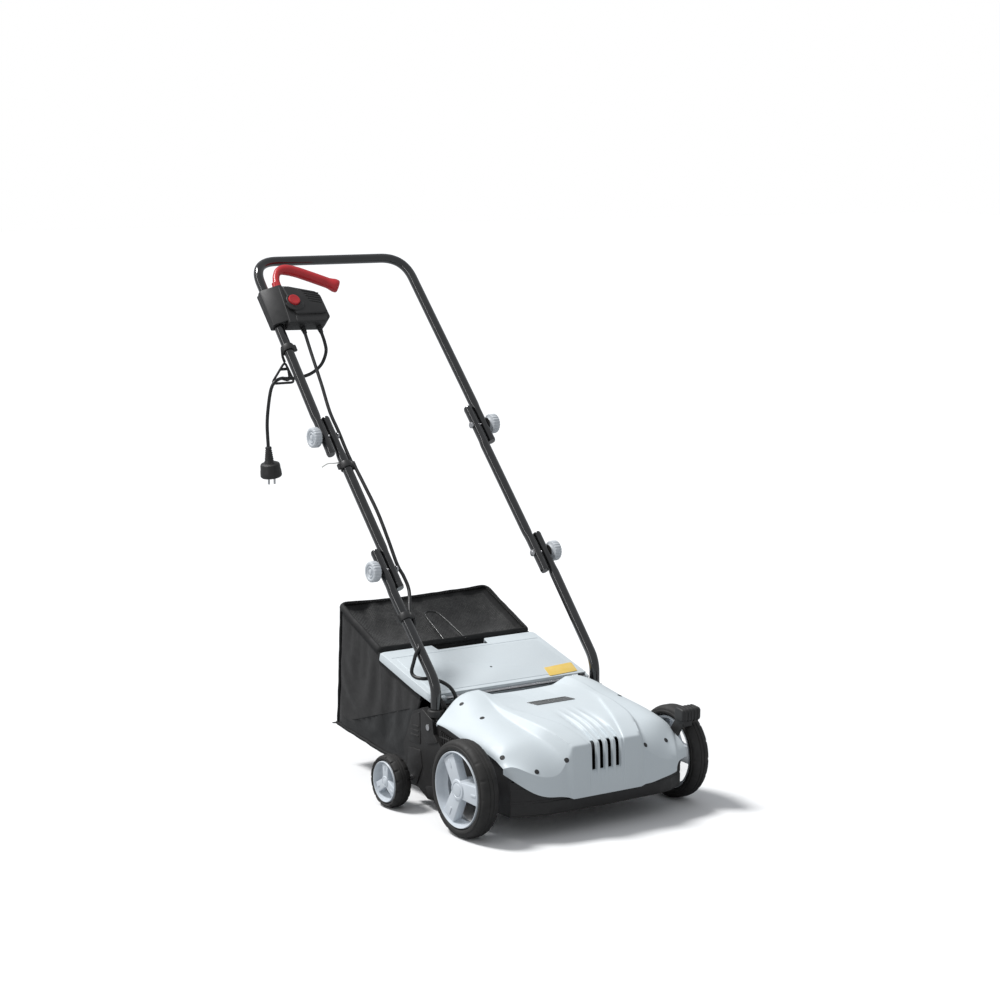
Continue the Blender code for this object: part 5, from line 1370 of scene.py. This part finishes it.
def supply_lead():
    """From the switch box in a loop through the hook and down to the plug."""
    hang = [
        (-0.092, 0.752, 0.84), (-0.09, 0.751, 0.82), (-0.101, 0.752, 0.795), (-0.125, 0.752, 0.778),
        (-0.155, 0.754, 0.7705), (-0.183, 0.752, 0.771), (-0.2, 0.741, 0.773),
        (-0.219, 0.73, 0.769), (-0.2295, 0.73, 0.755), (-0.2345, 0.734, 0.72),
        (-0.236, 0.738, 0.68), (-0.233, 0.74, 0.63),
    ]
    path = [(-0.102, 0.277, CORD_LEVEL), (-0.102, 0.255, CORD_LEVEL)] + [to_upper(p) for p in hang]
    supply = Form(UPPER).tube(smooth_path(path), CORD, 16)
    piece("supply_lead", supply, "upper_handle", "cable_black", ["supply_cord"])


def cord_boots():
    """Four shrinking rings on each cord under the switch box."""
    boots = Form(UPPER)
    for x in (-0.14, -0.102):
        for i in range(4):
            level = 0.2665 - 0.0042 * i
            ends = [(x, level, CORD_LEVEL), (x, level - 0.0026, CORD_LEVEL)]
            boots.tube(ends, 0.006 - 0.0005 * i)
    piece("cord_boots", boots, "upper_handle", "cable_black")


def cord_hook():
    """A ring round the leg with a knuckle, and a triangular wire frame on a stem that holds the lead."""
    level = 0.222
    at = Vector((-leg_x(level), level, 0))
    form = Form(UPPER)
    section = (
        (0.0106, -0.0066), (0.0134, -0.0066), (0.0141, -0.004), (0.0141, 0.004), (0.0134, 0.0066),
        (0.0106, 0.0066),
    )
    rings = [[(at.x + a, at.y + y, b) for a, b in circle(radius, 36)] for radius, y in section]
    form.bridge(rings, loop=True)
    knuckle = at + Vector((0.015, 0, 0.002))
    form.tube([knuckle + Vector((0, y, 0)) for y in (-0.0062, 0.0062)], 0.0042, 18)
    triangle = ((-0.192, 0.741, 0.806), (-0.223, 0.741, 0.763), (-0.17, 0.741, 0.763))
    top, left, right = (to_upper(p) for p in triangle)
    form.tube(even_loop(filleted([top, left, right], 0.005), 0.004), 0.0025, 12, closed=True)
    stem = [at + Vector((-0.0138, 0, 0)), at.lerp(top, 0.55) + Vector((-0.008, 0, 0)), top]
    form.tube(smooth_path(stem, 0.003), lambda share: (0.003 + 0.0015 * share, 0.0026), 12)
    root = top.lerp(right, 0.34)
    form.tube(even([top.lerp(left, 0.34), root]), (0.003, 0.0018), 10)
    tongue = [(0.22, (0, 0.006, 0.002)), (0.55, (0, 0.01, 0.001)), (0.86, (0, 0.005, 0))]
    tongue = [root] + [right.lerp(left, share) + Vector(lift) for share, lift in tongue]
    form.tube(smooth_path(tongue, 0.003), 0.0022, 10)
    piece("cord_hook_frame", form, "upper_handle", "box_black", ["cord_hook"])


def tapered(form, start, end, profile, steps=40):
    """A turned shape along the line between two points; profile holds (share along, radius)."""
    start, end = Vector(start), Vector(end)
    along = (end - start).normalized()
    across = along.orthogonal().normalized()
    other = along.cross(across)
    rings = []
    for share, radius in profile:
        spot = start.lerp(end, share)
        rings.append([spot + (across * c + other * s) * radius for c, s in circle(1, steps)])
    form.bridge(rings)


def mains_plug():
    """A ribbed neck, a round body and two flat pins."""
    form = Form()
    neck = [(0.0, 0.005), (0.02, 0.0062)]
    for i in range(6):
        share, high, low = 0.08 + 0.11 * i, 0.0066 + 0.0005 * i, 0.0056 + 0.0006 * i
        neck += [(share, high), (share + 0.05, high), (share + 0.055, low), (share + 0.1, low)]
    neck += [(0.8, 0.01), (1.0, 0.0105)]
    tapered(form, (-0.233, 0.74, 0.6355), (-0.2312, 0.74, 0.598), neck)
    shell = [
        (0.0, 0.0095), (0.03, 0.016), (0.08, 0.019), (0.18, 0.0203), (0.5, 0.0208), (0.54, 0.0214),
        (0.78, 0.0219), (0.9, 0.0221), (0.96, 0.0214), (1.0, 0.02),
    ]
    tapered(form, (-0.2296, 0.741, 0.6025), (-0.225, 0.744, 0.573), shell, 48)
    piece("plug_body", form, "upper_handle", "box_black", ["mains_plug"])
    blades = Form()
    for x in (-0.2315, -0.2185):
        blades.brick((x - 0.0012, 0.7402, 0.5573), (x + 0.0012, 0.7458, 0.575), 0.0006)
    piece("plug_blades", blades, "upper_handle", "bright_steel")


def clips():
    """Two clips that hold the motor cable beside a tube, each two rings and a lug, and a cable tie's tail."""
    spots = (
        ("upper", Vector((-MIDDLE_X, 0, 0)) + RUN * UPPER_CLIP, RUN, CORD_X + MIDDLE_X, "middle_handle"),
        ("lower", LEFT_BOLT + DOWN * LOWER_CLIP, DOWN, LOWER_CLIP_IN, "chassis"),
    )
    for name, centre, line, inboard, body in spots:
        along = line.normalized()
        across = Vector((1, 0, 0))
        across = (across - along * across.dot(along)).normalized()
        up = along.cross(across)
        form = Form(LOWER)
        for radius, shift in ((TUBE, 0.0), (CORD, inboard)):
            inner, outer = radius + 0.0008, radius + 0.0027
            section = (
                (inner, -0.007), (outer - 0.0004, -0.007), (outer, -0.0062), (outer, 0.0062),
                (outer - 0.0004, 0.007), (inner, 0.007),
            )
            core = centre + across * shift
            form.bridge([
                [core + along * step + (across * c + up * s) * wide for c, s in circle(1, 36)]
                for wide, step in section
            ], loop=True)
        section = ((-0.0175, -0.0035), (-0.0115, -0.0035), (-0.0115, 0.0035), (-0.0175, 0.0035))
        form.bridge([
            [centre + across * a + up * b + along * step for a, b in section] for step in (-0.0055, 0.0055)
        ])
        piece(f"cable_clamp_{name}", form, body, "box_black", [f"cable_clip_{name}"])
    start = Vector((-MIDDLE_X - 0.0118, 0, 0)) + RUN * 0.8
    steps = ((0, 0, 0), (-0.012, -0.002, 0.002), (-0.026, -0.001, 0.001), (-0.04, -0.006, -0.002))
    tail = smooth_path([start + Vector(step) for step in steps], 0.003)
    tie = Form(LOWER).tube(tail, (0.0013, 0.0005), 8, flat=(0, 1, 0))
    piece("cable_tie_tail", tie, "middle_handle", "tie_clear")


# ---------------------------------------------------------------- bag

BAG_HALF = 0.175
BAG_BOTTOM = [(0.281, 0.058), (0.4, 0.063), (0.577, 0.0845)]
BAG_TOP = [(0.25, 0.1985), (0.404, 0.2425), (0.4045, 0.2645), (0.5585, 0.3315)]
BAG_STEPS = (13, 2, 17)
BAND = 0.016
RIM_FRONT, RIM_LOW, RIM_HIGH = 0.4045, 0.2655, 0.332
NET, FABRIC, COATED, TAPE = range(4)
CLOTH_FRAMES = 36
SIDE_SLACK = 0.75
TOP_LIMIT, SIDE_LIMIT = 0.034, 0.012


def sampled(points, counts, band=None):
    """Points along straight runs; a band makes the first and last step of a run that wide."""
    made = [Vector(points[0])]
    for (a, b), count in zip(zip(points, points[1:]), counts):
        a, b = Vector(a), Vector(b)
        shares = spaced(0.0, 1.0, count + 1)
        if band and count > 6:
            edge = band / (b - a).length
            shares = [0.0, *spaced(edge, 1 - edge, count - 1), 1.0]
        made += [a.lerp(b, share) for share in shares[1:]]
    return made


def bag_seam(y):
    """The height of the seam between the coated floor and the net on a side panel."""
    return 0.174 + (0.0845 - 0.174) * (y - 0.283) / (0.577 - 0.283)


def bag_cage():
    """The bag's panels as one mesh with a metric map, with its sewn points and the slack of every point."""
    top = sampled(BAG_TOP, BAG_STEPS, BAND)
    low = sampled(BAG_BOTTOM[:2], [BAG_STEPS[0] + BAG_STEPS[1]])
    low += sampled(BAG_BOTTOM[1:], [BAG_STEPS[2]])[1:]
    rear = sampled([low[-1], top[-1]], [22], BAND)
    across = [-BAG_HALF, *spaced(BAND - BAG_HALF, BAG_HALF - BAND, 31), BAG_HALF]
    wrap = low + rear[1:-1] + top[::-1]
    reach, rear_reach = reaches(wrap), reaches(rear)
    bm = bmesh.new()
    uv = bm.loops.layers.uv.new("UVMap")
    lines = [[bm.verts.new((x, p.x, p.y)) for x in across] for p in wrap]
    floor_end, top_start = len(low) - 1, len(low) + len(rear) - 2
    step_row = top_start + BAG_STEPS[2]
    last = len(across) - 1

    def add(corners, coordinates, kind):
        face = bm.faces.new(corners)
        face.material_index = kind
        for loop, spot in zip(face.loops, coordinates):
            loop[uv].uv = spot

    def wrap_kind(i, j):
        if i < floor_end:
            return COATED
        if i >= step_row or j in (0, last - 1) or i in (top_start - 1, top_start, step_row - 1):
            return TAPE
        return NET if i >= top_start else FABRIC

    for i in range(len(wrap) - 1):
        for j in range(last):
            corners = ((i, j), (i, j + 1), (i + 1, j + 1), (i + 1, j))
            spots = [(across[b], reach[a]) for a, b in corners]
            add([lines[a][b] for a, b in corners], spots, wrap_kind(i, j))
    pinned = set()
    for column in (0, last):
        side = [[None] * len(rear) for _ in low]
        for i in range(len(low)):
            side[i][0] = lines[i][column]
            side[i][-1] = lines[len(wrap) - 1 - i][column]
        for j in range(len(rear)):
            side[-1][j] = lines[floor_end + j][column]
        for i in range(floor_end):
            for j in range(1, len(rear) - 1):
                share = rear_reach[j] / (rear[-1] - rear[0]).length
                spot = low[i].lerp(top[i], share)
                if i == 0:
                    spot.x += 0.012 * math.sin(math.pi * share)
                side[i][j] = bm.verts.new((across[column], spot.x, spot.y))
        for i in range(floor_end):
            for j in range(len(rear) - 1):
                ring = [side[i][j], side[i + 1][j], side[i + 1][j + 1], side[i][j + 1]]
                if len(set(ring)) < 4:
                    continue
                mid = sum((v.co for v in ring), Vector()) / 4
                kind = COATED if mid.z < bag_seam(mid.y) else FABRIC
                under_rim = j == len(rear) - 2 and i >= BAG_STEPS[0] + BAG_STEPS[1]
                if kind == FABRIC and (under_rim or i == floor_end - 1):
                    kind = TAPE
                ring = ring if column else ring[::-1]
                add(ring, [(v.co.y, v.co.z) for v in ring], kind)
        pinned.update(side[0])
    slack = {vertex: SIDE_SLACK for vertex in bm.verts}
    for i, line in enumerate(lines):
        for j, vertex in enumerate(line):
            if j in (0, last) or i in (0, floor_end, top_start, len(lines) - 1) or i >= step_row:
                pinned.add(vertex)
            if top_start < i < step_row:
                slack[vertex] = 0.0
    bm.verts.index_update()
    pins = {vertex.index for vertex in pinned}
    slack = {vertex.index: weight for vertex, weight in slack.items()}
    bmesh.ops.recalc_face_normals(bm, faces=bm.faces)
    bm.normal_update()
    crease = bm.edges.layers.float.new("crease_edge")
    for edge in bm.edges:
        a, b = edge.verts
        seamed = len(edge.link_faces) == 2 and a.index in pins and b.index in pins
        upright = abs(a.co.z - b.co.z) > abs(a.co.x - b.co.x) + abs(a.co.y - b.co.y)
        if seamed and not upright and abs(edge.calc_face_angle(0.0)) > SHARP_TURN:
            edge[crease] = 0.95
    mesh = bpy.data.meshes.new("bag")
    bm.to_mesh(mesh)
    bm.free()
    return mesh, pins, slack


def hang_bag(obj, pins, slack):
    """Lets the sewn panels sag under their own weight between their seams."""
    pin_group = obj.vertex_groups.new(name="pin")
    slack_group = obj.vertex_groups.new(name="slack")
    pin_group.add(sorted(pins), 1.0, "REPLACE")
    for index, weight in slack.items():
        slack_group.add([index], weight, "REPLACE")
    cloth = obj.modifiers.new("Cloth", "CLOTH")
    settings = cloth.settings
    settings.quality = 6
    settings.mass = 0.12
    settings.tension_stiffness = 18
    settings.compression_stiffness = 12
    settings.shear_stiffness = 6
    settings.bending_stiffness = 0.25
    settings.vertex_group_mass = "pin"
    settings.vertex_group_shrink = "slack"
    settings.shrink_min = -0.045
    settings.shrink_max = 0.0
    cloth.point_cache.frame_start = 1
    cloth.point_cache.frame_end = CLOTH_FRAMES
    scene = bpy.context.scene
    scene.frame_start, scene.frame_end = 1, CLOTH_FRAMES
    for step in range(1, CLOTH_FRAMES + 1):
        scene.frame_set(step)
    mesh = evaluated_copy(obj)
    obj.modifiers.clear()
    obj.data = mesh
    scene.frame_set(1)


def bag_rear(z):
    """Where the bag's rear panel stands at a height."""
    (low_y, low_z), (high_y, high_z) = BAG_BOTTOM[-1], BAG_TOP[-1]
    return low_y + (high_y - low_y) * (z - low_z) / (high_z - low_z)


def rounded_corner(spot, radius=0.013):
    """Draws the bag's upright rear corners in to an arc."""
    across = radius - (BAG_HALF - abs(spot.x))
    back = radius - (bag_rear(spot.z) - spot.y)
    reach = math.hypot(across, back)
    if across <= 0 or back <= 0 or reach <= radius:
        return spot
    keep = radius / reach
    x = math.copysign(BAG_HALF - radius + across * keep, spot.x)
    return Vector((x, bag_rear(spot.z) - radius + back * keep, spot.z))


def ruffled(spot, moved, pinned):
    """Where a point of the bag ends up: its sag held within a limit, small folds added, corners rounded."""
    place = spot + moved
    top = spot.z > 0.262 and abs(spot.x) < BAG_HALF - 0.001
    limit = TOP_LIMIT if top else SIDE_LIMIT
    if moved.length > limit:
        place = spot + moved.normalized() * limit
    if top and not pinned:
        near_left = eased(-spot.x, 0.03, 0.12) * eased(BAG_HALF + spot.x, 0.0, 0.03)
        fold = math.sin((spot.y - 0.4) * 26 + spot.x * 34) * 0.0035 * near_left
        place.z += fold + noise.noise(spot * 34.0) * 0.003 + noise.noise(spot * 80.0) * 0.0012
    elif spot.y > 0.3 and not pinned:
        long_folds = noise.noise(Vector((spot.x, spot.y * 30, spot.z * 9)))
        ruffle = long_folds * 0.0022 + noise.noise(spot * 70.0) * 0.0008
        sideways = abs(spot.x) > BAG_HALF - 0.001
        place += (Vector((math.copysign(1, spot.x), 0, 0)) if sideways else Vector((0, 1, 0))) * ruffle
    return rounded_corner(place)


def bag():
    """The bag's panels, hung as cloth and rounded, then its bindings, piping and wire."""
    mesh, pins, slack = bag_cage()
    rest = [vertex.co.copy() for vertex in mesh.vertices]
    looks = ["bag_net", "bag_fabric", "bag_coated", "bag_tape"]
    obj = place_object("bag_shell", mesh, None, looks, sharp=180.0)
    hang_bag(obj, pins, slack)
    for index, (vertex, spot) in enumerate(zip(obj.data.vertices, rest)):
        vertex.co = ruffled(spot, vertex.co - spot, index in pins)
    obj.data.transform(DATUM)
    smooth = obj.modifiers.new("Smooth", "SUBSURF")
    smooth.levels = 1
    smooth.render_levels = 1
    skin = obj.modifiers.new("Cloth wall", "SOLIDIFY")
    skin.thickness = 0.0012
    skin.offset = -1.0
    final = evaluated_copy(obj)
    bpy.data.objects.remove(obj)
    place_object("bag_shell", final, "bag", [], ["bag_body"], sharp=180.0)
    bag_bindings()
    bag_piping()
    bag_bail()


def waved(line):
    """The same line with the small waves of sewn tape."""
    return [p + Vector((
        0.0007 * noise.noise(p * 50), 0.0006 * noise.noise(p * 44 + Vector((1, 5, 2))),
        0.001 * noise.noise(p * 40 + Vector((3, 1, 0))),
    )) for p in line]


def rear_droop(x):
    """How far the tape along the rear rim sags."""
    return 0.0045 * math.cos(math.pi * x / (2 * BAG_HALF))


def bag_bindings():
    """Folded tape along the sewn edges, and a row of stitches beside each."""
    tape, stitches = Form(), Form()
    half, rear = BAG_HALF, bag_rear(BAG_TOP[-1][1])

    def stitch(start, end):
        stitches.tube([start, end], (0.0005, 0.0004), 6)

    left_rim = [(-half, RIM_FRONT, RIM_LOW), (-half, rear, RIM_HIGH)]
    rim = left_rim + [(-x, y, z) for x, y, z in reversed(left_rim)]
    loop = even_loop(filleted(rim, [0.006, 0.016, 0.016, 0.006], 7), 0.006)
    for p in loop:
        if p.y > rear - 0.012:
            p.z -= max(rear_droop(p.x), 0)
    tape.tube(waved(loop), (0.0062, 0.0034), 14, flat=(1, 0, 0.1), closed=True)
    for x in spaced(-half + 0.018, half - 0.018, 50):
        place = (rear - 0.0052, 0.3335 - rear_droop(x))
        stitch((x - 0.0017, *place), (x + 0.0017, *place))
    for side in (-1, 1):
        x = side * (half - 0.003)
        tall = [Vector((x, bag_rear(z) - 0.003, z)) for z in spaced(0.326, 0.088, 40)]
        tape.tube(waved(tall), (0.0034, 0.005), 12, flat=(1, side, 0))
        x = side * (half - 0.0006)
        floor = [(x, 0.5745, 0.085), (x, 0.4, 0.0635), (x, 0.283, 0.059)]
        neck = [(x, 0.252, 0.1985), (x, 0.403, 0.2425), (x, 0.4045, 0.262)]
        for corners, radius, steps, size in ((floor, 0.02, 5, 0.0036), (neck, 0.004, 4, 0.005)):
            line = even(filleted(corners, [0, radius, 0], steps, closed=False), 0.006)
            tape.tube(waved(line), (0.0026, size), 12, flat=(1, 0, 0))
        x = side * (half - 0.0052)
        for y in spaced(RIM_FRONT + 0.012, rear - 0.014, 26):
            z = RIM_LOW + (RIM_HIGH - RIM_LOW) * (y - RIM_FRONT) / (rear - RIM_FRONT)
            stitch((x, y - 0.0016, z + 0.0021), (x, y + 0.0016, z + 0.0035))
    heel = [(x, 0.5785, 0.0838) for x in (-0.06, 0.06)]
    heel = [(0.002 - half, 0.5745, 0.0855), *heel, (half - 0.002, 0.5745, 0.0855)]
    tape.tube(smooth_path(heel, 0.008), (0.0085, 0.0018), 12, flat=(0, 1, 0.12))

    def pointed(share):
        return (0.0075 * (1 - 0.75 * share), 0.0022 * (1 - 0.5 * share))

    for side in (-1, 1):
        tip = ((-0.01, 0.572, 0.0855), (0.0015, 0.58, 0.0848), (0.0045, 0.585, 0.0842))
        line = smooth_path([(side * (half + past), y, z) for past, y, z in tip], 0.003)
        tape.tube(line, pointed, 10, flat=(side, -1, 0))
    piece("bag_binding", tape, "bag", "bag_tape", sharp=70.0)
    piece("bag_stitching", stitches, "bag", "thread_grey", sharp=70.0)


def bag_piping():
    """A thin cord along the seam of each side panel."""
    piping = Form()
    for side in (-1, 1):
        line = [(side * (BAG_HALF + 0.0004), y, bag_seam(y)) for y in spaced(0.292, 0.56, 28)]
        piping.tube(smooth_path(line, 0.008), 0.0011, 8)
    piece("bag_piping", piping, "bag", "bag_tape", sharp=70.0)


def bag_bail():
    """The wire loop that lies on the bag's top."""
    path = [
        (-0.025, 0.401, 0.2655), (-0.0228, 0.43, 0.279), (-0.0185, 0.485, 0.3028),
        (-0.013, 0.4955, 0.3065), (-0.002, 0.499, 0.3078), (0.008, 0.4955, 0.3065),
        (0.0142, 0.485, 0.3028), (0.0208, 0.43, 0.279), (0.0235, 0.401, 0.2655),
    ]
    bail = Form().tube(smooth_path(path), 0.0019, 12)
    piece("bag_bail_wire", bail, "bag", "wire_black", ["bag_carry_bail"])


# ---------------------------------------------------------------- inside and carried-over pieces


def dress_frame():
    """Gives every CAD node that stays visible the procedural finish of its slot."""
    slots = {row["node"]: row["material_slot"] for row in frame["record"]["subparts"]}
    for name, node in frame["nodes"].items():
        node.data.materials.clear()
        node.data.materials.append(LOOKS[slots[name]])
        node.data.shade_smooth()
        node.data.set_sharp_from_angle(angle=math.radians(32))


# ---------------------------------------------------------------- studio


def studio_paper():
    """White paper that sends little light back up onto the machine."""
    paper = Look("studio_paper", (0.94, 0.94, 0.94), 0.9)
    paper.vary(0.8, (0.925, 0.925, 0.925), 0.5)
    seen = paper.nodes.new("ShaderNodeLightPath").outputs["Is Camera Ray"]
    paper.mix(paper.maths("SUBTRACT", 1.0, seen), (0.36, 0.37, 0.38))
    return paper.done()


def link(name, data):
    obj = bpy.data.objects.new(name, data)
    bpy.context.scene.collection.objects.link(obj)
    return obj


def aimed(direction):
    """The turn that points a lamp or a camera along a direction."""
    return Vector(direction).to_track_quat("-Z", "Y").to_euler()


def room_light():
    """A pure white backdrop for the camera, and a slightly cool, weaker light on the machine."""
    world = bpy.data.worlds.new("studio")
    world.use_nodes = True
    nodes, links = world.node_tree.nodes, world.node_tree.links
    backdrop = nodes["Background"]
    backdrop.inputs["Color"].default_value = (1.0, 1.0, 1.0, 1.0)
    room = nodes.new("ShaderNodeBackground")
    room.inputs["Color"].default_value = (0.93, 0.96, 1.0, 1.0)
    room.inputs["Strength"].default_value = 0.46
    seen = nodes.new("ShaderNodeLightPath").outputs["Is Camera Ray"]
    either = nodes.new("ShaderNodeMixShader")
    links.new(seen, either.inputs[0])
    links.new(room.outputs[0], either.inputs[1])
    links.new(backdrop.outputs[0], either.inputs[2])
    links.new(either.outputs[0], nodes["World Output"].inputs["Surface"])
    bpy.context.scene.world = world


def floor():
    mesh = bpy.data.meshes.new("studio_floor")
    mesh.from_pydata([(-30, -30, 0), (30, -30, 0), (30, 30, 0), (-30, 30, 0)], [], [(0, 1, 2, 3)])
    mesh.materials.append(studio_paper())
    link("studio_floor", mesh)


def lamps():
    """A soft lamp high up, and a tall narrow one that draws the highlight along the handle's tubes."""
    overhead = bpy.data.lights.new("overhead", "SUN")
    overhead.energy = 2.75
    overhead.angle = math.radians(14)
    link("overhead", overhead).rotation_euler = aimed((0.42, -0.42, -1.0))

    strip = bpy.data.lights.new("strip", "AREA")
    strip.shape = "RECTANGLE"
    strip.size = 0.24
    strip.size_y = 4.4
    strip.energy = 17.0
    spot, target = Vector((-2.7, 0.5, 1.9)), Vector((0.0, 0.2, 0.5))
    facing = (spot - target).normalized()
    up_handle = Vector((0, math.cos(HANDLE_TILT), math.sin(HANDLE_TILT)))
    across = up_handle.cross(facing).normalized()
    turn = Matrix((across, facing.cross(across), facing)).transposed().to_4x4()
    link("strip", strip).matrix_world = Matrix.Translation(spot) @ turn


def camera():
    """The photo's own camera, as solved from the wheels, the axles and the tubes."""
    lens = bpy.data.cameras.new("camera")
    lens.sensor_width = 36.0
    lens.lens = 84.18
    lens.shift_x = -0.0328
    lens.shift_y = -0.0041
    obj = link("camera", lens)
    obj.location = (-2.468, -3.84463, 1.232)
    obj.rotation_euler = aimed((0.5614, 0.8145, -0.1463))
    bpy.context.scene.camera = obj


def studio():
    bpy.context.scene.view_settings.view_transform = "Standard"
    room_light()
    floor()
    lamps()
    camera()


def build():
    dress_frame()
    wheels()
    cover = top_cover()
    tree = surface_reader(cover)
    cover_screws(tree)
    badge(tree)
    flap()
    housing_details()
    depth_lever()
    lower_tubes()
    middle_tubes()
    upper_bar()
    knobs()
    switch_box()
    start_button()
    bail_lever()
    cables()
    cord_hook()
    mains_plug()
    clips()
    bag()
    studio()


build()
